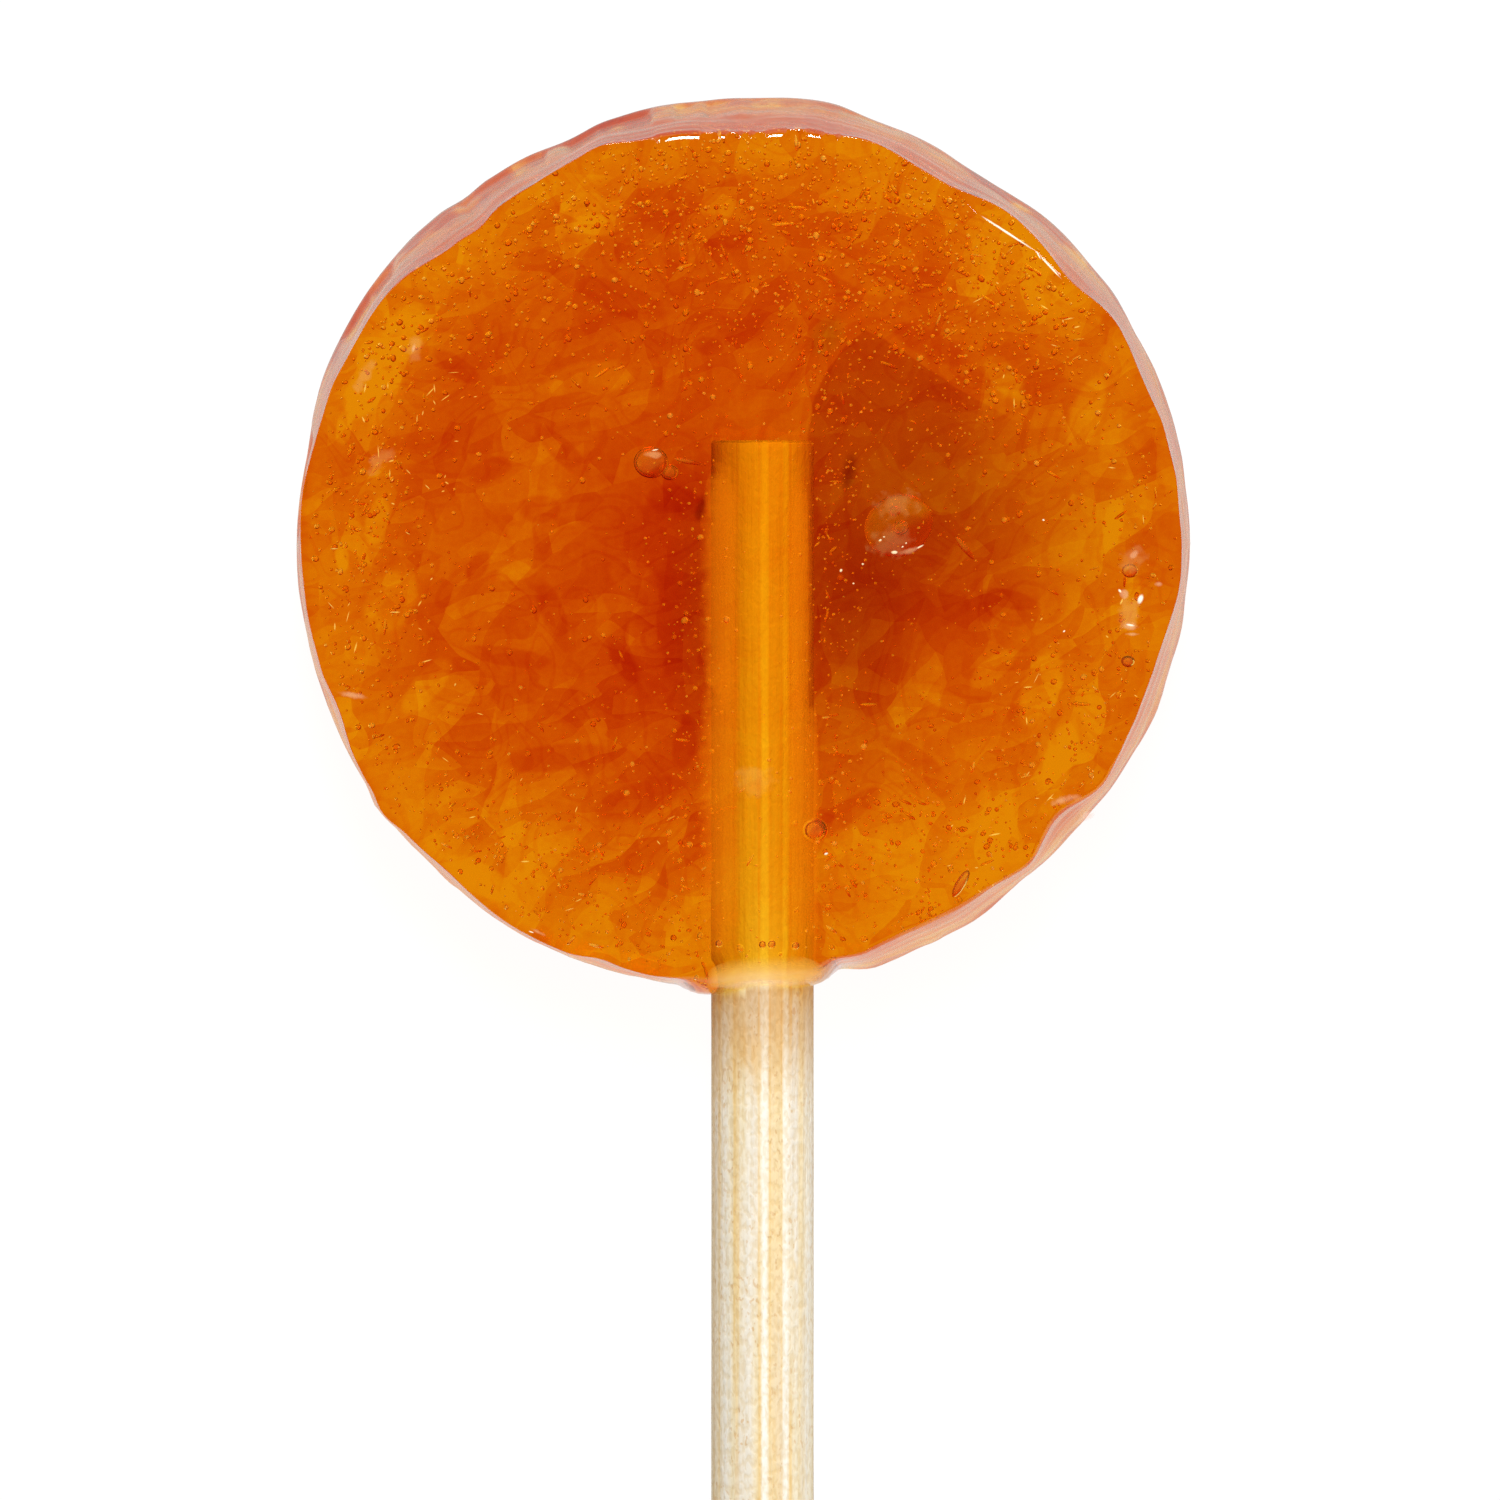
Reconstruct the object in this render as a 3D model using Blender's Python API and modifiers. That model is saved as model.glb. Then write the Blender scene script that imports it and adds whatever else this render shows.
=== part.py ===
"""A flat round lollipop: a disc of clear amber boiled sugar on a wooden stick.

It lies on its back with the stick along -Y. The origin is the middle of the
sweet's flat back, +Z points out of its front face, and lengths are in metres.
"""

import math

import bpy

# The stick, a plain round dowel with square-cut ends.
STICK_DIAMETER = 0.0050
STICK_LENGTH = 0.1000
STICK_SOFTENING = 0.0002
STICK_SIDES = 40

# Where the stick went in: a little right of the middle, and just past it.
STICK_X = 0.0009
STICK_TIP_Y = 0.0052
SEAT_GAP = 0.0003

# The sweet, poured by hand, so its front is smaller than its back.
SWEET_DIAMETER = 0.0432
SWEET_THICKNESS = 0.0080
FRONT_ROUNDING = 0.0004
BACK_ROUNDING = 0.0003
WIDEST_HEIGHT = 0.0010
FRONT_SHRINK = 0.0007
SWEET_SIDES = 120
WALL_STEPS = 5
ROUNDING_STEPS = 3
FACE_RINGS = (0.45, 0.85)

# How the outline strays from a circle, all the way through the sweet. Each
# swell is its direction and half its width in degrees, and its height.
OUTLINE_SWELLS = (
    (57.0, 13.0, -0.00045),
    (81.0, 9.0, 0.00015),
    (113.5, 6.0, -0.00025),
    (129.0, 4.0, -0.00015),
    (150.0, 22.0, 0.00035),
    (216.0, 4.0, 0.00020),
    (264.0, 8.0, 0.00018),
    (283.0, 8.0, -0.00030),
    (312.0, 26.0, -0.00042),
)

# How far the front edge draws in at some places, beyond its even shrink. The
# deepest is the slope at the stick, where the sugar thins to a lip.
FRONT_HOLLOWS = (
    (30.0, 12.0, -0.00025),
    (54.0, 9.0, -0.00045),
    (72.0, 8.0, -0.00045),
    (111.0, 9.0, -0.00045),
    (132.0, 13.0, 0.00050),
    (172.0, 13.0, -0.00020),
    (218.0, 16.0, -0.00020),
    (248.0, 12.0, -0.00028),
    (272.0, 9.0, 0.00080),
    (299.0, 20.0, 0.00055),
    (341.0, 18.0, 0.00050),
)

# Surface values: red, green and blue, roughness and transmission.
AMBER_SUGAR = ((0.78, 0.22, 0.01), 0.08, 0.9)
PALE_WOOD = ((0.85, 0.72, 0.48), 0.65, 0.0)


def clear_objects():
    """Take every object out of the open file."""
    for old in list(bpy.data.objects):
        bpy.data.objects.remove(old, do_unlink=True)


def new_collection(name):
    """Make a collection in the scene."""
    collection = bpy.data.collections.new(name)
    bpy.context.scene.collection.children.link(collection)
    return collection


def new_material(name, colour, roughness, transmission):
    """Make a Principled material of one colour."""
    material = bpy.data.materials.new(name)
    material.use_nodes = True
    surface = material.node_tree.nodes["Principled BSDF"]
    surface.inputs["Base Color"].default_value = (*colour, 1.0)
    surface.inputs["Roughness"].default_value = roughness
    surface.inputs["Metallic"].default_value = 0.0
    surface.inputs["Transmission Weight"].default_value = transmission
    material.diffuse_color = (*colour, 1.0)
    return material


def move_to(obj, collection):
    """Put an object in one collection only."""
    for other in list(obj.users_collection):
        other.objects.unlink(obj)
    collection.objects.link(obj)


def swell_at(direction, swells):
    """Add up the rounded swells, in metres, at a direction in degrees."""
    total = 0.0
    for centre, half_width, height in swells:
        apart = abs((direction - centre + 180.0) % 360.0 - 180.0)
        if apart < half_width:
            total += height * 0.5 * (1.0 + math.cos(math.pi * apart / half_width))
    return total


def front_inset(direction):
    """How far the front edge lies inside the widest outline, in metres."""
    even = FRONT_SHRINK * math.sin(math.radians(direction)) ** 2
    return even + swell_at(direction, FRONT_HOLLOWS)


def rounding(centre_radius, centre_height, radius, start, end):
    """Points (radius, height) along an edge's rounding, angles in degrees."""
    points = []
    for step in range(ROUNDING_STEPS + 1):
        angle = math.radians(start + (end - start) * step / ROUNDING_STEPS)
        points.append((centre_radius + radius * math.cos(angle),
                       centre_height + radius * math.sin(angle)))
    return points


def sweet_profile():
    """The even sweet's half section, from the front's middle to the back's."""
    radius = SWEET_DIAMETER / 2.0
    front_corner = SWEET_THICKNESS - FRONT_ROUNDING
    rings = [radius * share for share in FACE_RINGS]
    points = [(0.0, SWEET_THICKNESS)]
    points += [(ring, SWEET_THICKNESS) for ring in rings]
    points += rounding(radius - FRONT_ROUNDING, front_corner, FRONT_ROUNDING, 90.0, 0.0)
    for step in range(1, WALL_STEPS):
        share = step / WALL_STEPS
        points.append((radius, front_corner + (WIDEST_HEIGHT - front_corner) * share))
    points.append((radius, WIDEST_HEIGHT))
    points += rounding(radius - BACK_ROUNDING, BACK_ROUNDING, BACK_ROUNDING, 0.0, -90.0)
    points += [(ring, 0.0) for ring in reversed(rings)]
    points.append((0.0, 0.0))
    return points


def make_uneven(mesh):
    """Push an even disc into the sweet's own outline.

    Every point moves along its own radius, in step with how far out it is.
    The outline moves at all heights, and the front draws in above the
    widest height, more the nearer it is to the front face.
    """
    even_radius = SWEET_DIAMETER / 2.0
    for vertex in mesh.vertices:
        radius = math.hypot(vertex.co.x, vertex.co.y)
        if radius < 1e-7:
            continue
        direction = math.degrees(math.atan2(vertex.co.y, vertex.co.x)) % 360.0
        rise = (vertex.co.z - WIDEST_HEIGHT) / (SWEET_THICKNESS - WIDEST_HEIGHT)
        inset = front_inset(direction) * max(rise, 0.0)
        edge = even_radius + swell_at(direction, OUTLINE_SWELLS) - inset
        vertex.co.x *= edge / even_radius
        vertex.co.y *= edge / even_radius


def turned_mesh(name, points, sides, collection):
    """Turn a half section once around Z and give back the closed mesh."""
    outline = bpy.data.meshes.new(name + "_section")
    corners = [(radius, 0.0, height) for radius, height in points]
    links = [(index, index + 1) for index in range(len(points) - 1)]
    outline.from_pydata(corners, links, [])
    turner = bpy.data.objects.new(name + "_section", outline)
    collection.objects.link(turner)
    screw = turner.modifiers.new("turn", "SCREW")
    screw.steps = sides
    screw.render_steps = sides
    screw.use_merge_vertices = True
    screw.merge_threshold = 0.00001
    bpy.context.view_layer.update()
    graph = bpy.context.evaluated_depsgraph_get()
    mesh = bpy.data.meshes.new_from_object(turner.evaluated_get(graph))
    bpy.data.objects.remove(turner, do_unlink=True)
    bpy.data.meshes.remove(outline)
    mesh.name = name
    return mesh


def add_rod(name, diameter, near_y, far_y):
    """Add a cylinder along Y at the stick's place, between two ends."""
    bpy.ops.mesh.primitive_cylinder_add(
        vertices=STICK_SIDES,
        radius=diameter / 2.0,
        depth=far_y - near_y,
        location=(STICK_X, (near_y + far_y) / 2.0, SWEET_THICKNESS / 2.0),
        rotation=(math.pi / 2.0, 0.0, 0.0),
    )
    rod = bpy.context.object
    rod.name = name
    rod.data.name = name
    return rod


def build_stick(collection, parent):
    """The dowel, its end edges just softened."""
    stick = add_rod("stick", STICK_DIAMETER, STICK_TIP_Y - STICK_LENGTH, STICK_TIP_Y)
    move_to(stick, collection)
    stick.parent = parent
    softening = stick.modifiers.new("softened ends", "BEVEL")
    softening.width = STICK_SOFTENING
    softening.segments = 2
    softening.limit_method = "ANGLE"
    softening.angle_limit = math.radians(60.0)
    stick.data.shade_smooth()
    stick.data.set_sharp_from_angle(angle=math.radians(40.0))
    stick.data.materials.append(new_material("pale wood", *PALE_WOOD))
    return stick


def build_sweet(collection, cutters, parent):
    """The sugar disc, with the round seat that it sets around the stick."""
    mesh = turned_mesh("candy", sweet_profile(), SWEET_SIDES, collection)
    make_uneven(mesh)
    mesh.shade_smooth()
    mesh.set_sharp_from_angle(angle=math.radians(40.0))
    mesh.materials.append(new_material("amber sugar", *AMBER_SUGAR))
    sweet = bpy.data.objects.new("candy", mesh)
    collection.objects.link(sweet)
    sweet.parent = parent

    seat = add_rod("stick_seat", STICK_DIAMETER + 2.0 * SEAT_GAP,
                   -SWEET_DIAMETER, STICK_TIP_Y + SEAT_GAP)
    move_to(seat, cutters)
    seat.hide_render = True
    seat.display_type = "WIRE"
    cut = sweet.modifiers.new("seat for the stick", "BOOLEAN")
    cut.operation = "DIFFERENCE"
    cut.solver = "EXACT"
    cut.object = seat
    return sweet


def main():
    """Build the lollipop."""
    clear_objects()
    lollipop = new_collection("lollipop")
    cutters = new_collection("cutters")
    base = bpy.data.objects.new("lollipop_base", None)
    lollipop.objects.link(base)
    build_stick(lollipop, base)
    build_sweet(lollipop, cutters, base)


main()
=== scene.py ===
"""The looks of a flat round lollipop: clear amber sugar on a pale wooden stick.

The sweet, its bubbles and the stick are surfaces worked out with numpy, closed
and facing outwards. They stand in the part's own frame, in metres unless a line
says millimetres: +Z points out of the sweet's front, and +Y towards its top, so
the stick runs along -Y.
"""

import logging
import math
from dataclasses import dataclass, field
from enum import Enum
from typing import TypeVar

import bpy
import numpy as np
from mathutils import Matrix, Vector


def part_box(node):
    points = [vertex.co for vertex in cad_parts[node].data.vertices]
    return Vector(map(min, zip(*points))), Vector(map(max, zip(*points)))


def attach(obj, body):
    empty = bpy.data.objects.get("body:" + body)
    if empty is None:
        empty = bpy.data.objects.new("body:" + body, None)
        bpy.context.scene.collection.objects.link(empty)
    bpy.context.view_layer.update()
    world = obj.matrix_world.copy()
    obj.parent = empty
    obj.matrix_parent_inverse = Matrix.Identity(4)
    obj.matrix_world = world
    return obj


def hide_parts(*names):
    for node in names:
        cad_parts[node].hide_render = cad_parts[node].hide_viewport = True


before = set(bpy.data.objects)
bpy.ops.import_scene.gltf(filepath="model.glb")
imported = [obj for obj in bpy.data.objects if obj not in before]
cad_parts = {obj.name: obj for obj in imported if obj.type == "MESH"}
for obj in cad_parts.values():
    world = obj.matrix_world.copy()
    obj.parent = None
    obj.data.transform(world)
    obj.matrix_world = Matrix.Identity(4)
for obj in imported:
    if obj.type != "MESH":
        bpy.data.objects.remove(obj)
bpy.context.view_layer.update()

LOG = logging.getLogger("lollipop")
MM = 0.001
BODY = "root"
FULL_TURN = 2.0 * np.pi

Kind = TypeVar("Kind")
Colour = tuple[float, float, float]
Socket = bpy.types.NodeSocket


class Slot(Enum):
    """The record's material slots."""

    SUGAR = "amber_sugar"
    WOOD = "pale_wood"


def listed(kind: type[Kind], *rows: tuple[float, ...]) -> tuple[Kind, ...]:
    """Make one of a kind from each row of its numbers."""
    return tuple(kind(*row) for row in rows)


# ---------------------------------------------------------------- arrays and meshes


def smooth_step(values: np.ndarray, low: float, high: float) -> np.ndarray:
    """Rise from 0 at low to 1 at high along 3t^2 - 2t^3.

    Args:
        values: The numbers to map.
        low: Where the rise starts. It may be above high, for a fall.
        high: Where the rise ends.

    Returns:
        Numbers from 0 to 1.
    """
    share = np.clip((values - low) / (high - low), 0.0, 1.0)
    return share * share * (3.0 - 2.0 * share)


class Lattice:
    """Smooth seeded noise from -1 to 1: random values on a square lattice, blended between."""

    def __init__(self, seed: int, cells: int = 64) -> None:
        """Draw the lattice's values.

        Args:
            seed: The random draw's seed.
            cells: Cells along each side, after which the noise repeats.
        """
        self.cells = cells
        self.values = np.random.default_rng(seed).uniform(-1.0, 1.0, (cells, cells))

    def at(self, u: np.ndarray, v: np.ndarray) -> np.ndarray:
        """Read the noise: the four corner values blended by smooth steps.

        Args:
            u: First coordinate, in cells.
            v: Second coordinate, in cells.

        Returns:
            The noise there.
        """
        u0, v0 = np.floor(u), np.floor(v)
        s, t = u - u0, v - v0
        s, t = s * s * (3.0 - 2.0 * s), t * t * (3.0 - 2.0 * t)
        i, j = u0.astype(int) % self.cells, v0.astype(int) % self.cells
        i1, j1 = (i + 1) % self.cells, (j + 1) % self.cells
        near = self.values[i, j] * (1.0 - t) + self.values[i, j1] * t
        far = self.values[i1, j] * (1.0 - t) + self.values[i1, j1] * t
        return near * (1.0 - s) + far * s

    def layered(self, u: np.ndarray, v: np.ndarray, layers: int = 3) -> np.ndarray:
        """Add layers of the noise, each twice as fine and half as strong.

        Args:
            u: First coordinate, in cells of the coarsest layer.
            v: Second coordinate, likewise.
            layers: How many layers.

        Returns:
            The sum, within about -1 to 1.
        """
        total = sum(self.at(u * 2**k, v * 2**k) / 2**k for k in range(layers))
        return total / (2.0 - 2.0 ** (1 - layers))


@dataclass
class Rings:
    """A closed surface of rings from pole to pole, as arrays.

    A ring is a row of points round the shape, and each ring lies outside or
    below the one before. The poles close the first and the last ring.

    Attributes:
        points: Ring points, of shape (rings, columns, 3).
        first: The pole inside the first ring.
        last: The pole inside the last ring.
        around: Distance round the shape at each column and at its closing seam.
        along: Distance along the profile at each ring.
    """

    points: np.ndarray
    first: np.ndarray
    last: np.ndarray
    around: np.ndarray
    along: np.ndarray

    def corners(self) -> tuple[np.ndarray, np.ndarray, np.ndarray]:
        """List the faces' corners.

        Each quad joins column c to c + 1 and ring r to r + 1, and the poles
        take triangles. The order turns anticlockwise as seen from outside.

        Returns:
            Vertex numbers of the quads and of the triangles, and the texture
            coordinates of all these corners in the same order.
        """
        rings, columns = self.points.shape[:2]
        quads, ring, column = ring_quads(rings, columns)
        u = np.stack([self.around[column], self.around[column],
                      self.around[column + 1], self.around[column + 1]], axis=-1)
        v = np.stack([self.along[ring], self.along[ring + 1],
                      self.along[ring + 1], self.along[ring]], axis=-1)
        c = np.arange(columns)
        d = (c + 1) % columns
        first, last = rings * columns, rings * columns + 1
        end = (rings - 1) * columns
        caps = np.concatenate([np.stack([np.full(columns, first), c, d], axis=-1),
                               np.stack([np.full(columns, last), end + d, end + c], axis=-1)])
        mid = (self.around[:-1] + self.around[1:]) / 2.0
        cap_u = np.concatenate([np.stack([mid, self.around[:-1], self.around[1:]], axis=-1),
                                np.stack([mid, self.around[1:], self.around[:-1]], axis=-1)])
        cap_v = np.repeat([self.along[0], self.along[-1]], columns)[:, None] * np.ones(3)
        uv = np.stack([np.concatenate([u.reshape(-1), cap_u.reshape(-1)]),
                       np.concatenate([v.reshape(-1), cap_v.reshape(-1)])], axis=-1)
        return quads, caps, uv

    def all_points(self) -> np.ndarray:
        """List every vertex: the rings in order, then the first and last pole."""
        return np.concatenate([self.points.reshape(-1, 3), [self.first], [self.last]])

    def with_poles(self, values: np.ndarray) -> np.ndarray:
        """Add the two poles' values after a field of the rings: their rings' means."""
        return np.concatenate([values.reshape(-1), [values[0].mean(), values[-1].mean()]])


def ring_quads(rings: int, columns: int) -> tuple[np.ndarray, np.ndarray, np.ndarray]:
    """Join the points of closed rings by quads, each from ring r to r + 1.

    Args:
        rings: How many rings.
        columns: Points on each.

    Returns:
        Vertex numbers of the quads, and each quad's ring and column.
    """
    ring, column = np.meshgrid(np.arange(rings - 1), np.arange(columns), indexing="ij")
    after = (column + 1) % columns
    quads = np.stack([ring * columns + column, (ring + 1) * columns + column,
                      (ring + 1) * columns + after, ring * columns + after], axis=-1)
    return quads.reshape(-1, 4), ring, column


def make_piece(name: str, points: np.ndarray, quads: np.ndarray, triangles: np.ndarray,
               uv: np.ndarray | None = None) -> bpy.types.Object:
    """Put arrays into a smooth-shaded mesh object at the origin.

    Args:
        name: The piece's name.
        points: Vertex places, of shape (n, 3).
        quads: Vertex numbers of the four-sided faces.
        triangles: Vertex numbers of the three-sided faces.
        uv: Texture coordinates of all face corners, quads first.

    Returns:
        The new object, linked to the scene.
    """
    mesh = bpy.data.meshes.new(name)
    corners = np.concatenate([quads.reshape(-1), triangles.reshape(-1)]).astype(np.int32)
    sizes = np.concatenate([np.full(len(quads), 4), np.full(len(triangles), 3)])
    starts = np.concatenate([[0], np.cumsum(sizes)[:-1]]).astype(np.int32)
    mesh.vertices.add(len(points))
    mesh.vertices.foreach_set("co", points.astype(np.float32).ravel())
    mesh.loops.add(len(corners))
    mesh.loops.foreach_set("vertex_index", corners)
    mesh.polygons.add(len(starts))
    mesh.polygons.foreach_set("loop_start", starts)
    if uv is not None:
        layer = mesh.uv_layers.new(name="surface")
        layer.data.foreach_set("uv", uv.astype(np.float32).ravel())
    mesh.update(calc_edges=True)
    mesh.validate()
    mesh.shade_smooth()
    piece = bpy.data.objects.new(name, mesh)
    bpy.context.scene.collection.objects.link(piece)
    return piece


def ringed_piece(name: str, rings: Rings) -> bpy.types.Object:
    """Make an object of a closed ringed surface, with its texture coordinates."""
    quads, caps, uv = rings.corners()
    return make_piece(name, rings.all_points(), quads, caps, uv)


def write_fields(piece: bpy.types.Object, **fields: np.ndarray) -> None:
    """Store numbers for each vertex as mesh attributes.

    Args:
        piece: The object whose mesh takes them.
        **fields: Each attribute's name, and one number for each vertex.
    """
    for name, values in fields.items():
        attribute = piece.data.attributes.new(name, "FLOAT", "POINT")
        attribute.data.foreach_set("value", values.astype(np.float32).ravel())


# ---------------------------------------------------------------- forms and places


@dataclass(frozen=True)
class Swell:
    """A rounded swell of an outline.

    Attributes:
        direction: Its middle, in degrees from +X.
        half_width: Half its width, in degrees.
        height: How far out it stands, in millimetres; less than 0 is a hollow.
    """

    direction: float
    half_width: float
    height: float

    def at(self, directions: np.ndarray) -> np.ndarray:
        """Height times half of 1 + cos(pi * distance / half-width), and 0 beyond.

        Args:
            directions: Directions in degrees.

        Returns:
            The height there, in metres.
        """
        apart = np.abs((directions - self.direction + 180.0) % 360.0 - 180.0)
        wave = 0.5 * (1.0 + np.cos(np.pi * apart / self.half_width))
        return np.where(apart < self.half_width, self.height * MM * wave, 0.0)


@dataclass(frozen=True)
class Sector:
    """A range of directions with soft ends, cut off at 0 and 360 degrees.

    Attributes:
        middle: Its middle, in degrees from +X.
        reach: How far from its middle it ends.
        whole: How far from its middle it starts to fall.
    """

    middle: float
    reach: float
    whole: float

    def at(self, directions: np.ndarray) -> np.ndarray:
        """1 in its whole part, 0 beyond its reach, and a smooth step between."""
        return smooth_step(np.abs(directions - self.middle), self.reach, self.whole)


@dataclass(frozen=True)
class Spot:
    """An oval on the sweet's face, exp(-(a^2 + b^2)^edge) of its own two axes.

    Attributes:
        x: Middle, in millimetres from the sweet's middle.
        y: Middle, likewise.
        along: Reach along its own axis, in millimetres.
        across: Reach across it.
        turn: Its axis, in degrees from +X.
        strength: Its value at the middle.
        edge: How crisp its edge is, from 1, soft, to about 4.
    """

    x: float
    y: float
    along: float
    across: float
    turn: float
    strength: float = 1.0
    edge: float = 1.0

    def spread_at(self, x: np.ndarray, y: np.ndarray) -> np.ndarray:
        """Read a^2 + b^2, which is 1 on the oval's outline.

        Args:
            x: Places in metres.
            y: Places, likewise.

        Returns:
            The sum at each place.
        """
        turn = math.radians(self.turn)
        dx, dy = x / MM - self.x, y / MM - self.y
        a = (dx * math.cos(turn) + dy * math.sin(turn)) / self.along
        b = (dy * math.cos(turn) - dx * math.sin(turn)) / self.across
        return a * a + b * b

    def at(self, x: np.ndarray, y: np.ndarray) -> np.ndarray:
        """Read the spot at places in metres."""
        return self.strength * np.exp(-(self.spread_at(x, y) ** self.edge))


def sum_at(parts: tuple[Swell | Sector | Spot, ...], *places: np.ndarray) -> np.ndarray:
    """Add up swells or sectors at directions in degrees, or spots at places in metres."""
    return sum(part.at(*places) for part in parts)


def inside_ovals(spots: tuple[Spot, ...], x: np.ndarray, y: np.ndarray) -> np.ndarray:
    """The largest of 1 - a^2 - b^2 over ovals: above 0 inside one, never under -3."""
    values = [1.0 - spot.spread_at(x, y) for spot in spots]
    return np.maximum(np.max(values, axis=0), -3.0)


@dataclass(frozen=True)
class Boundary:
    """A line y(x) or x(y) on the sweet's face, through points joined by straight steps.

    Attributes:
        along: The points' first coordinates in millimetres, rising.
        across: Their second coordinates.
    """

    along: tuple[float, ...]
    across: tuple[float, ...]

    def beyond(self, along: np.ndarray, across: np.ndarray) -> np.ndarray:
        """How far places in metres lie past the line, in millimetres across it."""
        return across / MM - np.interp(along / MM, self.along, self.across)


# The outline's swells and the front edge's hollows, the same as the solid sweet has.
OUTLINE_SWELLS = listed(
    Swell,
    (57, 13, -0.45), (81, 9, 0.15), (113.5, 6, -0.25), (129, 4, -0.15), (150, 22, 0.35),
    (216, 4, 0.2), (264, 8, 0.18), (283, 8, -0.3), (312, 26, -0.42),
)
FRONT_HOLLOWS = listed(
    Swell,
    (30, 12, -0.25), (54, 9, -0.45), (72, 8, -0.45), (111, 9, -0.45), (132, 13, 0.5),
    (172, 13, -0.2), (218, 16, -0.2), (248, 12, -0.28), (272, 9, 0.8), (299, 20, 0.55),
    (341, 18, 0.5),
)

# What the sharp front edge draws in beyond that, and small touches to the outline.
EDGE_HOLLOWS = listed(
    Swell,
    (10, 6, -0.08), (26, 9, 0.16), (40, 8, 0.3), (70, 6, 0.1), (81, 7, -0.08), (90, 9, 0.12),
    (100, 6, -0.08), (121, 7, 0.15), (170, 10, -0.08), (201, 6, 0.18), (238, 12, -0.34),
    (250, 4, 0.12), (258, 8, -0.34), (272, 8, 0.35), (289, 8, 0.12), (311, 6, -0.15),
    (320, 8, 0.72), (350, 30, 0.13),
)
OUTLINE_TOUCHES = listed(
    Swell,
    (0, 9, 0.1), (70, 8, -0.12), (137, 14, 0.16), (160, 9, 0.12), (182, 28, 0.14), (218, 24, 0.22),
    (240, 20, 0.24), (249, 8, 0.12), (256, 6, 0.1), (286, 4, 0.14), (302, 9, 0.22), (312, 8, 0.06),
    (331, 8, -0.08),
)


# ---------------------------------------------------------------- shader building


class Graph:
    """A short way to place and link a node tree's nodes."""

    def __init__(self, tree: bpy.types.NodeTree) -> None:
        """Keep the node tree to build in."""
        self.tree = tree

    def add(self, kind: str, values: dict[str | int, object] | None = None,
            **settings: object) -> bpy.types.Node:
        """Place a node.

        Args:
            kind: The node's type name.
            values: Input name or number to what feeds it: a socket, a node, whose
                first output is meant, or a plain value. Three numbers are an opaque colour.
            **settings: The node's own properties.

        Returns:
            The node.
        """
        node = self.tree.nodes.new(kind)
        for name, value in settings.items():
            setattr(node, name, value)
        for name, value in (values or {}).items():
            socket = node.inputs[name]
            if isinstance(value, bpy.types.Node):
                value = value.outputs[0]
            if isinstance(value, Socket):
                self.tree.links.new(value, socket)
            elif socket.type == "RGBA" and len(value) == 3:
                socket.default_value = (*value, 1.0)
            else:
                socket.default_value = value
        return node

    def math(self, operation: str, *values: object) -> Socket:
        """Place a Math node on numbers or sockets and give its output."""
        return self.add("ShaderNodeMath", dict(enumerate(values)), operation=operation).outputs[0]

    def times(self, first: object, second: object) -> Socket:
        """Multiply two values."""
        return self.math("MULTIPLY", first, second)

    def plus(self, first: object, second: object) -> Socket:
        """Add two values."""
        return self.math("ADD", first, second)

    def minus(self, first: object, second: object) -> Socket:
        """Take the second value from the first."""
        return self.math("SUBTRACT", first, second)

    def vector(self, operation: str, values: dict[str | int, object]) -> Socket:
        """Place a Vector Math node and give its output."""
        return self.add("ShaderNodeVectorMath", values, operation=operation).outputs[0]

    def spread(self, value: Socket, low: float, high: float,
               to_low: float = 0.0, to_high: float = 1.0) -> Socket:
        """Map a value smoothly from one range to another, held at its ends.

        Args:
            value: The value.
            low: Where its range starts. It may be above high, for a fall.
            high: Where its range ends.
            to_low: What low becomes.
            to_high: What high becomes.

        Returns:
            The mapped value.
        """
        return self.add("ShaderNodeMapRange", {"Value": value, "From Min": low, "From Max": high,
                                               "To Min": to_low, "To Max": to_high},
                        interpolation_type="SMOOTHSTEP").outputs["Result"]

    def field(self, name: str) -> Socket:
        """Read a number stored on the mesh."""
        return self.add("ShaderNodeAttribute", attribute_name=name).outputs["Fac"]

    def place(self) -> Socket:
        """Read the piece's own Object coordinates."""
        return self.add("ShaderNodeTexCoord").outputs["Object"]

    def surface(self) -> Socket:
        """Read the distances round and along the piece, from its UV map."""
        return self.add("ShaderNodeUVMap", uv_map="surface").outputs[0]

    def scaled(self, vector: Socket, x: float, y: float, z: float) -> Socket:
        """Scale a vector's three parts."""
        return self.add("ShaderNodeMapping", {"Vector": vector, "Scale": (x, y, z)}).outputs[0]

    def noise(self, vector: Socket, scale: float, detail: float, **others: float) -> Socket:
        """Place a noise texture and give its value, about 0.5.

        Args:
            vector: Where it is read.
            scale: How many of its cells fit in a metre.
            detail: How many finer layers it has.
            **others: Its Roughness or Distortion.

        Returns:
            The value.
        """
        return self.add("ShaderNodeTexNoise", {"Vector": vector, "Scale": scale,
                                               "Detail": detail, **others}).outputs["Fac"]

    def power(self, colour: Colour, exponent: Socket) -> Socket:
        """Raise a colour to a power, as a layer so many times as thick would look."""
        return self.add("ShaderNodeGamma", {"Color": colour, "Gamma": exponent}).outputs[0]

    def blend(self, share: object, first: object, second: object, mode: str = "MIX") -> Socket:
        """Mix two colours.

        Args:
            share: How much of the second.
            first: The first colour.
            second: The second colour.
            mode: How they mix.

        Returns:
            The colour.
        """
        return self.add("ShaderNodeMix", {0: share, 6: first, 7: second},
                        data_type="RGBA", blend_type=mode).outputs[2]

    def bump(self, height: Socket) -> Socket:
        """Turn a height in millimetres into a normal."""
        return self.add("ShaderNodeBump", {"Height": height, "Strength": 1.0,
                                           "Distance": MM}).outputs[0]


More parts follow.
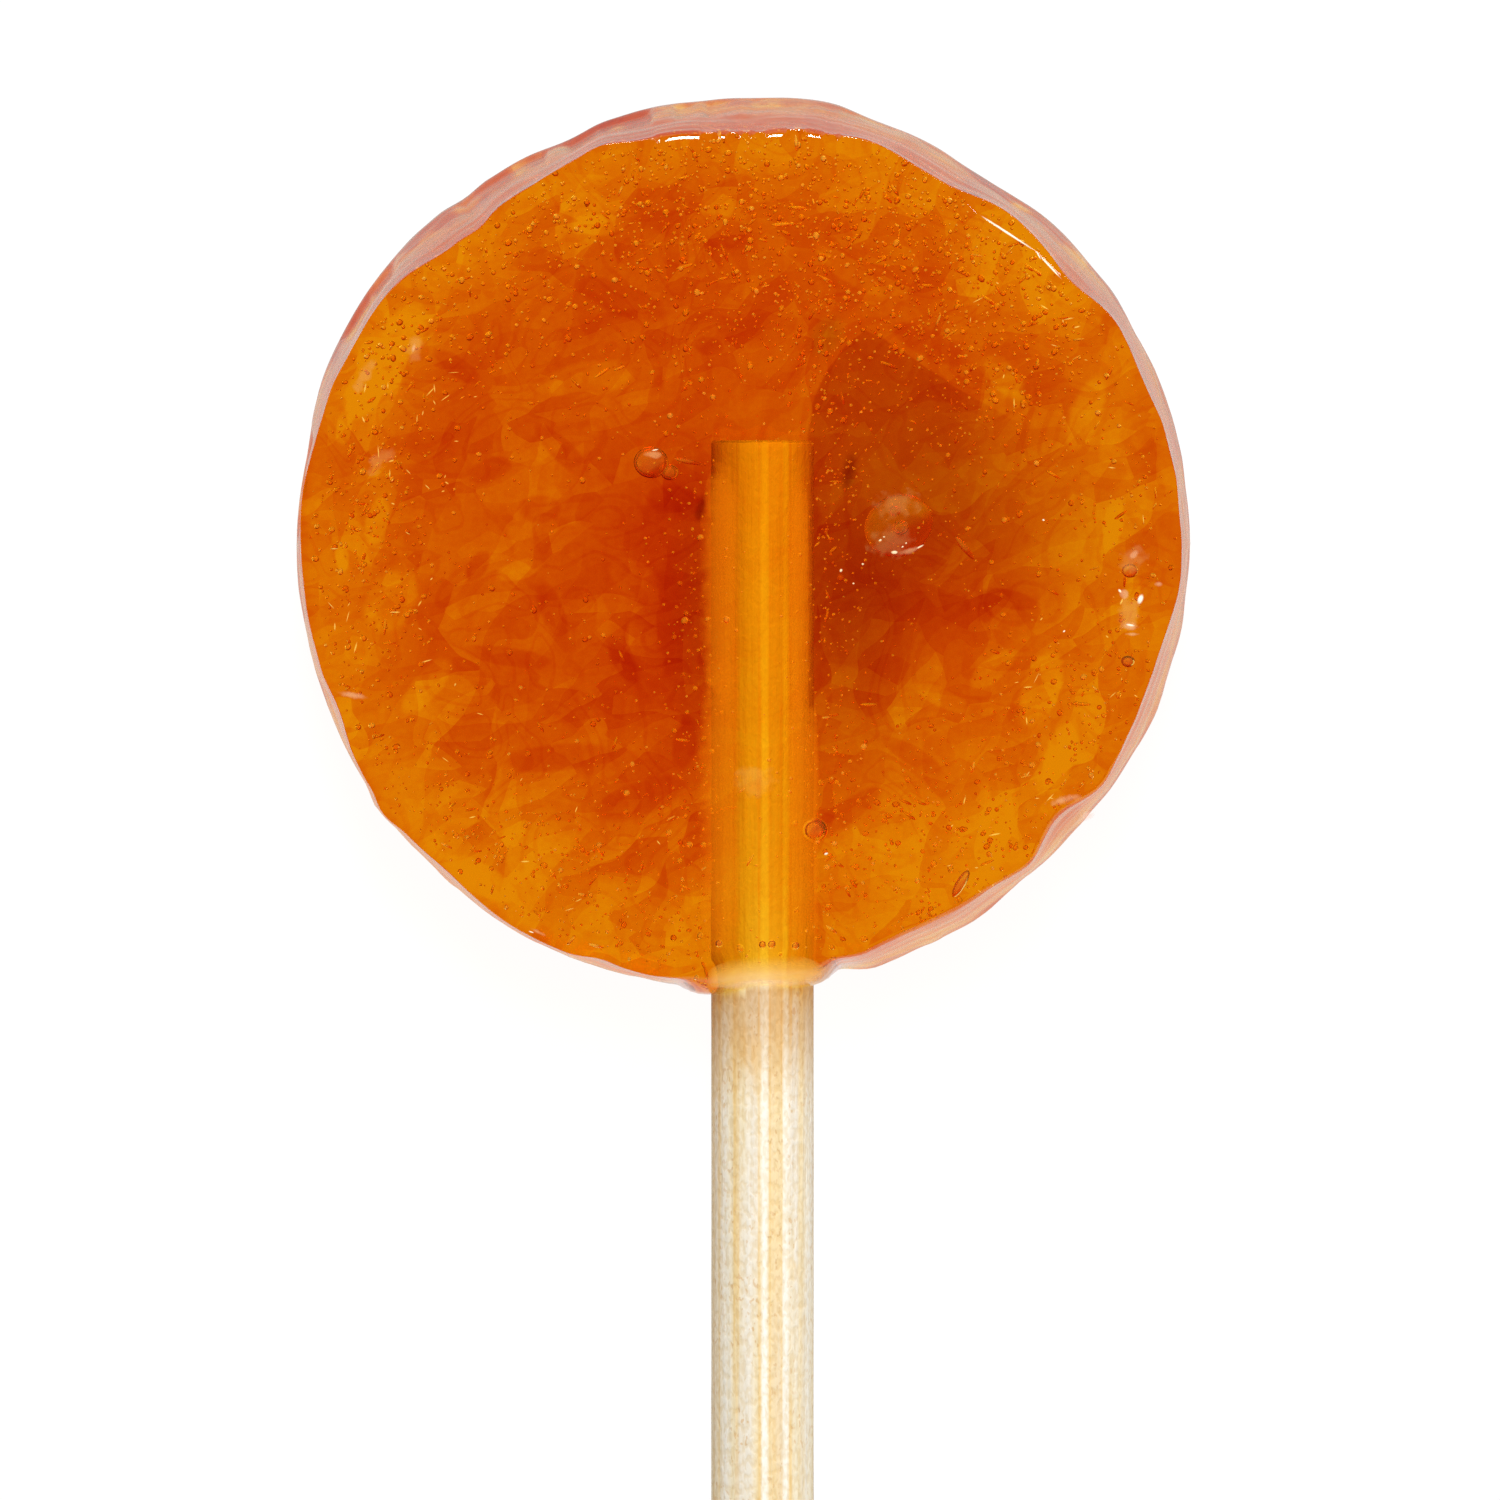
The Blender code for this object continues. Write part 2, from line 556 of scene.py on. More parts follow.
@dataclass(frozen=True)
class Strokes:
    """A shared effect: overlapping petals of light and dark, laid like brush strokes.

    Attributes:
        scale: Petals to a metre.
        swirl: How far they are swirled, in metres.
        turn: Their direction, in degrees.
    """

    scale: float
    swirl: float
    turn: float

    @staticmethod
    def tree() -> bpy.types.NodeTree:
        """Build the group once.

        The flat place is swirled by broad noise, turned and drawn long, and cut
        into cells. A third of the cells are lighter and a third darker, each
        the more so towards its edge, and the rest stay even.

        Returns:
            The node group, whose Tone runs from about -1 to 1.
        """
        name = "soft strokes"
        if name in bpy.data.node_groups:
            return bpy.data.node_groups[name]
        tree = bpy.data.node_groups.new(name, "ShaderNodeTree")
        for label, way, kind in (("Vector", "INPUT", "Vector"), ("Scale", "INPUT", "Float"),
                                 ("Swirl", "INPUT", "Float"), ("Turn", "INPUT", "Float"),
                                 ("Tone", "OUTPUT", "Float")):
            tree.interface.new_socket(label, in_out=way, socket_type=f"NodeSocket{kind}")
        g = Graph(tree)
        start = g.add("NodeGroupInput").outputs
        flat = g.vector("MULTIPLY", {0: start["Vector"], 1: (1.0, 1.0, 0.0)})
        broad = g.add("ShaderNodeTexNoise", {"Vector": flat, "Scale": 260.0, "Detail": 1.0})
        centred = g.vector("SUBTRACT", {0: broad.outputs["Color"], 1: (0.5, 0.5, 0.5)})
        pushed = g.vector("SCALE", {0: centred, "Scale": start["Swirl"]})
        turned = g.add("ShaderNodeVectorRotate", {
            "Vector": g.vector("ADD", {0: flat, 1: pushed}), "Angle": start["Turn"]},
                       rotation_type="Z_AXIS")
        drawn = g.vector("MULTIPLY", {0: turned, 1: (1.0, 0.45, 1.0)})
        cells = g.add("ShaderNodeTexVoronoi", {"Vector": drawn, "Scale": start["Scale"]},
                      voronoi_dimensions="2D").outputs
        own = g.add("ShaderNodeSeparateColor", {0: cells["Color"]}).outputs[0]
        swing = g.minus(g.spread(own, 0.58, 0.95), g.spread(own, 0.42, 0.05))
        tone = g.times(swing, g.spread(cells["Distance"], 0.0, 0.55, 0.45, 1.0))
        g.add("NodeGroupOutput", {"Tone": tone})
        return tree

    def tone(self, graph: Graph, vector: Socket) -> Socket:
        """Place the group in a material with these values and give its tone."""
        return graph.add("ShaderNodeGroup", {
            "Vector": vector, "Scale": self.scale, "Swirl": self.swirl,
            "Turn": math.radians(self.turn)}, node_tree=self.tree()).outputs["Tone"]


@dataclass(frozen=True)
class Finish:
    """What every finish has: its material's name, and shaders for the material's output."""

    name: str

    def shaders(self, g: Graph) -> dict[str, bpy.types.Node]:
        """Place the finish's nodes, and give the shader for each input of the output."""
        raise NotImplementedError

    def make(self) -> bpy.types.Material:
        """Build the material from the finish's shaders.

        Returns:
            The material.
        """
        material = bpy.data.materials.new(self.name)
        material.use_nodes = True
        material.node_tree.nodes.clear()
        g = Graph(material.node_tree)
        g.add("ShaderNodeOutputMaterial", self.shaders(g))
        return material


@dataclass(frozen=True)
class AmberSugar(Finish):
    """Clear boiled sugar: it soaks up blue first, then green, and is darker in places, much of
    that painted shade.
    """

    name: str = "amber sugar"
    ior: float = 1.5
    roughness: float = 0.03
    clear_density: float = 900.0
    clear_colour: Colour = (0.9715, 0.8146, 0.0)
    darkening: Colour = (0.82, 0.37, 0.13)
    browning: Colour = (0.80, 0.97, 0.90)
    # How dark and how brown the painted shadow patch right of the stick is.
    painted_shadow_darkness: float = 0.8
    painted_shadow_brown: float = 0.66
    stroke_darkness: float = 0.42
    large_petals: tuple[Strokes, float] = (Strokes(260.0, 0.0034, 62.0), 0.30)
    middle_petals: tuple[Strokes, float] = (Strokes(560.0, 0.0026, 25.0), 0.36)
    small_petals: tuple[Strokes, float] = (Strokes(1150.0, 0.0018, 75.0), 0.30)
    ribbon_weight: float = 0.22
    grain_weight: float = 0.8
    crease_height: float = 0.021
    ripple_height: float = 0.05
    wall_roughness: float = 0.28
    wall_tint: Colour = (1.0, 0.93, 0.84)
    streak_darkness: float = 4.0

    def mottle(self, g: Graph) -> Socket:
        """Add up petals of three sizes, curled ribbons and grain, about 0 on the whole.

        Args:
            g: The material's graph.

        Returns:
            The sum.
        """
        place = g.place()
        flat = g.scaled(place, 1.0, 1.0, 0.0)
        ribbons = g.math("PINGPONG", g.times(g.noise(flat, 210.0, 1.0, Distortion=1.2), 7.0), 0.5)
        grain = g.noise(flat, 2600.0, 3.0, Roughness=0.7)
        parts = [(strokes.tone(g, place), weight) for strokes, weight in (
            self.large_petals, self.middle_petals, self.small_petals)]
        parts += [(g.minus(g.spread(ribbons, 0.20, 0.08), 0.2), self.ribbon_weight),
                  (g.minus(grain, 0.5), self.grain_weight)]
        total = 0.0
        for tone, weight in parts:
            total = g.plus(total, g.times(tone, weight))
        return total

    def drawn_shapes(self, g: Graph) -> tuple[Socket, Socket]:
        """Give the named strokes and the painted shadow patch crisp edges, from the smooth fields
        they store.

        Args:
            g: The material's graph.

        Returns:
            How much darker the strokes make a place, and how much of the painted shadow patch it
            has.
        """
        fold = g.times(g.spread(g.field("fold_left"), 0.0, 0.22),
                       g.spread(g.field("fold_top"), 0.0, -0.16))
        dark, light = (g.times(g.spread(g.field(name), -0.15, 0.45), self.stroke_darkness)
                       for name in ("dark_strokes", "light_strokes"))
        return g.minus(dark, light), g.times(fold, g.field("fold"))

    def tint(self, g: Graph, lines: Socket) -> Socket:
        """Colour the surface by the stored darkness and the strokes over it.

        The darkening colour is raised to the power of the darkness, as a
        thicker layer of sugar would be; part of that darkness is painted shade. Most of it lies on
        the back.

        Args:
            g: The material's graph.
            lines: The wall's fine lines.

        Returns:
            The colour.
        """
        depth, share = g.field("darkness"), g.field("share")
        strokes, fold = self.drawn_shapes(g)
        swing = g.times(self.mottle(g), g.plus(0.66, g.times(depth, 0.25)))
        power = g.plus(g.plus(depth, swing), strokes)
        # Painted shadow patch.
        power = g.plus(power, g.times(fold, self.painted_shadow_darkness))
        streaks = g.times(g.minus(lines, 0.5), self.streak_darkness)
        power = g.math("MAXIMUM", g.plus(power, g.times(streaks, g.field("wall"))), 0.0)
        browned = g.plus(g.field("brown"), g.times(fold, self.painted_shadow_brown))
        return g.blend(1.0, g.power(self.darkening, g.times(power, share)),
                       g.power(self.browning, g.times(browned, share)), "MULTIPLY")

    def normal(self, g: Graph) -> Socket:
        """Bump the surface with a faint ripple, and the front with its crease.

        Args:
            g: The material's graph.

        Returns:
            The normal.
        """
        ripple = g.times(g.noise(g.place(), 420.0, 2.0), self.ripple_height)
        crease = g.times(g.spread(g.field("crease"), 0.17, 0.0), g.field("crease_reach"))
        return g.bump(g.plus(ripple, g.times(crease, self.crease_height)))

    def dullness(self, g: Graph, lines: Socket) -> Socket:
        """Roughness: near 0 on the faces, and dull in streaks on the wall."""
        streaks = g.times(g.field("wall"), g.spread(lines, 0.3, 0.7, 0.6, 1.3))
        return g.plus(self.roughness, g.times(streaks, self.wall_roughness))

    def shaders(self, g: Graph) -> dict[str, bpy.types.Node]:
        """Glassy sugar that lamps shine through, with fine lines drawn round its wall.

        Args:
            g: The material's graph.

        Returns:
            The surface's and the volume's shader.
        """
        lines = g.noise(g.scaled(g.surface(), 0.09, 1.0, 1.0), 900.0, 3.0, Roughness=0.55)
        sugar = g.add("ShaderNodeBsdfPrincipled", {
            "Base Color": self.tint(g, lines), "Roughness": self.dullness(g, lines),
            "IOR": self.ior, "Transmission Weight": 1.0, "Normal": self.normal(g),
            "Coat Weight": g.field("wall"), "Coat Roughness": 0.3, "Coat IOR": 1.1,
            "Coat Tint": self.wall_tint})
        clear = g.add("ShaderNodeBsdfTransparent")
        rays = g.add("ShaderNodeLightPath").outputs
        soft = g.add("ShaderNodeMixShader", {0: rays["Is Diffuse Ray"], 1: sugar, 2: clear})
        lit = g.add("ShaderNodeMixShader", {0: rays["Is Shadow Ray"], 1: soft, 2: clear})
        soak = g.add("ShaderNodeVolumeAbsorption", {"Color": self.clear_colour,
                                                    "Density": self.clear_density})
        return {"Surface": lit, "Volume": soak}


@dataclass(frozen=True)
class SunkAir(Finish):
    """The skin of a bubble shut in the sugar, a little milky, with air on its inner side."""

    name: str = "bubble skin"
    clearness: float = 0.74
    ior: float = 0.667
    milk: Colour = (1.0, 0.84, 0.28)
    warm_milk: Colour = (1.0, 0.72, 0.20)
    painted_shade_colour: Colour = (0.88, 0.30, 0.03)

    def shaders(self, g: Graph) -> dict[str, bpy.types.Node]:
        """Clear, a little milky in uneven tone, with painted shade on the side away from the
        light.

        Args:
            g: The material's graph.

        Returns:
            The surface's shader.
        """
        uneven = g.spread(g.noise(g.place(), 1600.0, 2.0), 0.35, 0.65)
        colour = g.blend(uneven, self.milk, self.warm_milk)
        # Painted shade: browner on the side facing away from the light.
        colour = g.blend(g.spread(g.field("upper"), 0.15, -0.35), colour, self.painted_shade_colour)
        return {"Surface": g.add("ShaderNodeBsdfPrincipled", {
            "Base Color": colour, "Roughness": 0.0, "IOR": self.ior,
            "Transmission Weight": self.clearness})}


@dataclass(frozen=True)
class MilkyAir(Finish):
    """Sugar clouded by the finest froth, whitish and thinning out to its edge."""

    name: str = "milky blister"
    milk: Colour = (0.86, 0.54, 0.43)
    cover: float = 0.24
    uneven: float = 1.6

    def shaders(self, g: Graph) -> dict[str, bpy.types.Node]:
        """Cloudy in uneven patches, from the stored closeness.

        Args:
            g: The material's graph.

        Returns:
            The surface's shader.
        """
        wisps = g.times(g.minus(g.noise(g.place(), 2200.0, 3.0), 0.5), self.uneven)
        cloud = g.spread(g.plus(g.field("closeness"), wisps), 0.05, 0.75, 0.0, self.cover)
        return {"Surface": g.add("ShaderNodeBsdfPrincipled", {
            "Base Color": self.milk, "Roughness": 0.6, "Specular IOR Level": 0.0,
            "Alpha": cloud})}


@dataclass(frozen=True)
class PaleWood(Finish):
    """Raw pale wood: cream, with golden and white lines along it and short dark pores.

    On the sawn ends the same grain is read straight across, so that the
    fibres show there as fine dots. Painted shade darkens its left side and the
    part just below the sweet, and one broad white line paints light on its right side.
    """

    name: str = "pale wood"
    cream: Colour = (0.89, 0.74, 0.47)
    golden: Colour = (0.86, 0.56, 0.18)
    white: Colour = (0.97, 0.91, 0.77)
    grey: Colour = (0.86, 0.76, 0.60)
    pore: Colour = (0.72, 0.46, 0.21)
    soaked: Colour = (0.92, 0.62, 0.03)
    # Darkening for damp sugar and for painted shade on the stick.
    damp_and_shade: Colour = (0.84, 0.70, 0.55)
    left_shade_strength: float = 0.15
    fibre_height: float = 0.05
    fleck_height: float = 0.04
    fibre_scale: float = 5200.0
    long_squeeze: float = 0.035
    short_squeeze: float = 0.55
    fleck_shares: Colour = (0.55, 1.0, 1.9)
    roughness: float = 0.62

    def grains(self, g: Graph) -> tuple[Socket, Socket]:
        """Where the grain is read: drawn out along the round side, and plain on the sawn ends.

        Args:
            g: The material's graph.

        Returns:
            Places for a long grain and for a short one.
        """
        side, end = g.surface(), g.place()
        long, short = (g.blend(g.field("sawn"), g.scaled(side, 1.0, squeeze, 1.0), end)
                       for squeeze in (self.long_squeeze, self.short_squeeze))
        return long, short

    def lines(self, g: Graph, fibre: Socket, broad: Socket) -> Socket:
        """Colour the wood along its grain.

        Args:
            g: The material's graph.
            fibre: The fine fibres.
            broad: The broad bands.

        Returns:
            Cream to grey in bands, with the golden and the white lines over it.
        """
        base = g.blend(g.spread(broad, 0.35, 0.65), self.cream, self.grey)
        warm = g.times(g.field("golden"), g.spread(fibre, 0.25, 0.6, 0.6, 1.0))
        return g.blend(g.field("white"), g.blend(warm, base, self.golden), self.white)

    def shaders(self, g: Graph) -> dict[str, bpy.types.Node]:
        """Wood from the stored streaks, the grain over them, the sugar soaked into it and the
        painted shade.

        Args:
            g: The material's graph.

        Returns:
            The surface's shader.
        """
        long, short = self.grains(g)
        fibre = g.noise(long, self.fibre_scale, 4.0, Roughness=0.6)
        pores = g.noise(short, self.fibre_scale, 1.0)
        flecks = g.noise(short, 4300.0, 1.5, Distortion=0.4)
        patches = g.noise(short, 700.0, 1.0)
        lined = self.lines(g, fibre, g.noise(long, 1300.0, 2.0))
        dry = g.spread(g.field("soaked"), 0.0, 0.3, 1.0, 0.15)
        pore = g.times(g.spread(pores, 0.59, 0.67), g.spread(patches, 0.45, 0.6, 0.08, 0.7))
        pore = g.times(pore, g.minus(1.0, g.field("white")))
        dotted = g.blend(g.times(pore, dry), lined, self.pore)
        fleck = g.times(g.spread(flecks, 0.36, 0.60, -0.07, 0.06), dry)
        # Painted shade: the stick's left side is made darker.
        tone = g.minus(g.spread(fibre, 0.2, 0.8, 0.90, 1.01),
                       g.times(g.field("painted_side_shade"), self.left_shade_strength))
        tones = g.add("ShaderNodeCombineColor", {
            number: g.math("MULTIPLY_ADD", fleck, share, tone)
            for number, share in enumerate(self.fleck_shares)})
        colour = g.blend(1.0, dotted, tones, "MULTIPLY")
        for name, stain in (("soaked", self.soaked), ("damp_and_shade", self.damp_and_shade)):
            colour = g.blend(1.0, colour, g.power(stain, g.field(name)), "MULTIPLY")
        height = g.plus(g.times(fibre, self.fibre_height), g.times(flecks, self.fleck_height))
        return {"Surface": g.add("ShaderNodeBsdfPrincipled", {
            "Base Color": colour, "Roughness": self.roughness, "Specular IOR Level": 0.3,
            "Normal": g.bump(height)})}


@dataclass(frozen=True)
class GlowingWhite(Finish):
    """The pale floor, a white panel that glows softly."""

    name: str = "glowing white floor"
    glow: float = 0.96
    dim_glow: float = 0.80
    paint: float = 0.06

    def shaders(self, g: Graph) -> dict[str, bpy.types.Node]:
        """Matt paint and an even glow, dimmer in reflections.

        Args:
            g: The material's graph.

        Returns:
            The surface's shader.
        """
        paint = g.add("ShaderNodeBsdfDiffuse", {"Color": (self.paint,) * 3})
        rays = g.add("ShaderNodeLightPath").outputs
        mirrored = g.times(rays["Is Glossy Ray"], g.minus(1.0, rays["Is Transmission Ray"]))
        strength = g.minus(self.glow, g.times(mirrored, self.glow - self.dim_glow))
        glow = g.add("ShaderNodeEmission", {"Color": (1.0, 1.0, 1.0), "Strength": strength})
        return {"Surface": g.add("ShaderNodeAddShader", {0: paint, 1: glow})}

    def make(self) -> bpy.types.Material:
        """Build the material, whose light reaches things only by their own rays.

        Returns:
            The material.
        """
        material = super().make()
        material.cycles.emission_sampling = "NONE"
        return material


# ---------------------------------------------------------------- the stick


@dataclass(frozen=True)
class Streak:
    """A line along the stick.

    Attributes:
        offset: Where it lies right of the stick's middle as seen from the front, in millimetres.
        width: Its width in millimetres.
        strength: How strong it is, from 0 to 1.
    """

    offset: float
    width: float
    strength: float


@dataclass
class Stick:
    """The round wooden dowel, cut square at the far end and a shade aslant at the tip.

    Its surface is a circle of radius r carried along Y, closed by flat ends
    with a softened edge, and its fibres stand proud by a few hundredths of a
    millimetre. Numbers added to a coordinate of the noise only keep one use of
    it apart from the next.
    """

    columns: int = 180
    rows: int = 260
    softening: float = 0.2 * MM
    fibre_height: float = 0.018 * MM
    end_slant: float = 0.05
    tip_rise: float = 0.22 * MM
    lip_end: float = -21.28
    lip_slant: float = 0.12
    blotch_strength: float = 0.6
    golden: tuple[Streak, ...] = listed(
        Streak,
        (-2.38, 0.4, 0.6), (-2.12, 0.12, 0.9), (-1.25, 0.22, 0.6), (-1.37, 0.09, 0.9),
        (-0.15, 0.14, 1), (0.36, 0.12, 1), (0.68, 0.75, 0.55), (1.36, 0.12, 0.9),
        (1.95, 0.6, 0.15), (0.92, 0.1, 0.7),
    )
    white: tuple[Streak, ...] = listed(
        Streak,
        (0.1, 0.34, 1), (1.12, 0.26, 1), (-1.78, 0.6, 0.45), (-0.7, 0.25, 0.25), (1.62, 0.2, 0.3),
        # Painted light: this broad streak lightens the right flank.
        (2.25, 0.7, 0.5),
    )
    noise: Lattice = field(default_factory=lambda: Lattice(11))

    def __post_init__(self) -> None:
        """Take the sizes from the solid stick."""
        low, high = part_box("stick")
        self.radius = (high.x - low.x) / 2.0
        self.middle = (low.x + high.x) / 2.0
        self.height = (low.z + high.z) / 2.0
        self.near, self.tip = low.y, high.y + self.tip_rise

    def profile(self) -> tuple[np.ndarray, np.ndarray]:
        """The half section from the tip's middle to the far end's.

        Returns:
            Radius and place on Y of each ring.
        """
        inner = self.radius - self.softening
        turn = np.linspace(0.0, np.pi / 2.0, 5)
        face = inner * np.linspace(0.15, 0.85, 4)
        body = np.linspace(self.tip - self.softening, self.near + self.softening, self.rows)[1:-1]
        radius = np.concatenate([face, inner + self.softening * np.sin(turn),
                                 np.full(len(body), self.radius),
                                 inner + self.softening * np.cos(turn), face[::-1]])
        y = np.concatenate([np.full(4, self.tip),
                            self.tip - self.softening * (1.0 - np.cos(turn)), body,
                            self.near + self.softening * (1.0 - np.sin(turn)),
                            np.full(4, self.near)])
        return radius, y

    def round_noise(self, angle: np.ndarray, part: float, row: np.ndarray) -> np.ndarray:
        """Read layered noise on the stick.

        Args:
            angle: Direction round the stick, in radians.
            part: What part of the lattice one turn takes.
            row: The lattice's other coordinate, in cells.

        Returns:
            The noise. It closes round the stick where that part is whole.
        """
        return self.noise.layered(angle * (self.noise.cells * part / FULL_TURN), row)

    def streak_field(self, streaks: tuple[Streak, ...], angle: np.ndarray,
                     y: np.ndarray, seed: int) -> np.ndarray:
        """Read streaks round the stick: each fades over its width and wavers along Y.

        Args:
            streaks: The streaks.
            angle: Direction round the stick from its front, in radians.
            y: Place along it.
            seed: A number that keeps one set's wavering apart from another's.

        Returns:
            The strength of the strongest streak at each place.
        """
        total = np.zeros(np.broadcast(angle, y).shape)
        for number, streak in enumerate(streaks):
            waver = 0.05 * self.noise.at(y / (9.0 * MM) + 7.3 * number + seed, 0.0 * y + number)
            fade = 0.5 + 0.5 * self.noise.at(y / (5.0 * MM) + 3.1 * number, 0.0 * y + seed)
            place = np.arcsin(np.clip(streak.offset * MM / self.radius, -0.98, 0.98))
            apart = np.abs((angle - place + np.pi) % FULL_TURN - np.pi) * self.radius / MM
            edge = smooth_step(apart + waver, streak.width * 0.75, streak.width * 0.25)
            total = np.maximum(total, streak.strength * edge * (0.6 + 0.4 * fade))
        return total

    def rings(self, angle: np.ndarray, y: np.ndarray, radius: np.ndarray,
              on_side: np.ndarray) -> Rings:
        """Carry the section round: middle + reach * (sin, cos) of the angle, with the fibres.

        Args:
            angle: The columns' directions, a row.
            y: The rings' places, a column.
            radius: The rings' radii, likewise.
            on_side: 1 on the round side and 0 on the ends, likewise.

        Returns:
            The stick's surface.
        """
        fibres = self.round_noise(angle, 1.0, y / (6.0 * MM))
        reach = radius + self.fibre_height * fibres * on_side - self.fibre_height
        near_tip = smooth_step(y, self.tip - 1.5 * MM, self.tip - self.softening)
        drawn_back = self.end_slant * (self.radius - reach * np.cos(angle)) * near_tip
        points = np.stack([self.middle + reach * np.sin(angle), y - drawn_back,
                           self.height + reach * np.cos(angle)], axis=-1)
        steps = np.hypot(np.diff(radius[:, 0]), np.diff(y[:, 0]))
        tip = self.tip - self.end_slant * self.radius
        return Rings(points, np.array([self.middle, tip, self.height]),
                     np.array([self.middle, self.near, self.height]),
                     np.linspace(0.0, FULL_TURN * self.radius, self.columns + 1),
                     np.concatenate([[0.0], np.cumsum(steps)]))

    def build(self) -> bpy.types.Object:
        """Make the stick's mesh, store what its finish reads, and dress it.

        Returns:
            The stick.
        """
        radius, y = (values[:, None] for values in self.profile())
        angle = np.linspace(0.0, FULL_TURN, self.columns, endpoint=False)[None, :]
        on_side = smooth_step(radius, self.radius - self.softening, self.radius)
        rings = self.rings(angle, y, radius, on_side)
        piece = ringed_piece("wooden_stick", rings)
        turned = (angle + np.pi) % FULL_TURN - np.pi
        golden, white = (on_side * self.streak_field(streaks, turned, y, seed)
                         for streaks, seed in ((self.golden, 1), (self.white, 2)))
        blotch = smooth_step(self.round_noise(angle, 1.0 / 16.0, y / (3.5 * MM)), 0.35, 0.7)
        # Painted shade on the stick's left side.
        left = smooth_step(np.sin(angle) + 0.0 * y, 0.15, -0.85)
        fields = {"golden": np.maximum(golden, self.blotch_strength * on_side * blotch),
                  "white": white, "soaked": self.soaked(turned, y), "damp_and_shade": self.damp_and_shade(angle, y),
                  "painted_side_shade": left * on_side, "sawn": 1.0 - on_side + 0.0 * angle}
        write_fields(piece, **{name: rings.with_poles(values) for name, values in fields.items()})
        piece.data.materials.append(PaleWood().make())
        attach(piece, BODY)
        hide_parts("stick")
        return piece

    def soaked(self, angle: np.ndarray, y: np.ndarray) -> np.ndarray:
        """How deeply amber has stained the sunk end: a little more towards the tip.

        Args:
            angle: Direction round the stick from its front, in radians.
            y: Place along it.

        Returns:
            The depth, 0 on the dry part and about 1 on the sunk part.
        """
        sunk = 0.02 * (y > self.lip(angle)) + 0.95 * smooth_step(y, -20.1 * MM, -19.5 * MM)
        deeper = (0.5 + 0.5 * smooth_step(y, -17.0 * MM, -4.0 * MM)
                  + 0.3 * smooth_step(y, -4.0 * MM, 4.0 * MM))
        uneven = 0.3 * self.round_noise(angle, 1.0 / 8.0, y / (5.0 * MM))
        behind = 0.9 * smooth_step(np.cos(angle), 0.1, -0.1)
        return sunk * np.maximum(deeper + uneven + behind, 0.0)

    def damp_and_shade(self, angle: np.ndarray, y: np.ndarray) -> np.ndarray:
        """How much damp sugar and painted shade darken the stick: most just below the sweet's lip,
        where crept sugar and a painted shadow of the sweet lie, some on the left flank as painted
        shade, and a little inside the lip.

        Args:
            angle: Direction round the stick, in radians.
            y: Place along it.

        Returns:
            How much.
        """
        uneven = 0.5 * MM * self.round_noise(angle, 1.0 / 4.0, 0.0 * y + 3.0)
        # Crept sugar and a painted shadow of the sweet, just below its lip.
        below = 1.4 * smooth_step(y + uneven, -27.5 * MM, -21.6 * MM)
        # Painted shade on the left flank.
        below = below + 0.25 * smooth_step(np.sin(angle), -0.65, -0.95)
        in_lip = 0.15 * smooth_step(y, -19.5 * MM, -19.8 * MM)
        return np.where(y < self.lip(angle), below, in_lip)

    def lip(self, angle: np.ndarray) -> np.ndarray:
        """Where the sugar's lip ends on the stick: a little lower at its left."""
        return (self.lip_end + self.lip_slant * np.sin(angle) * self.radius / MM) * MM


# ---------------------------------------------------------------- the sweet


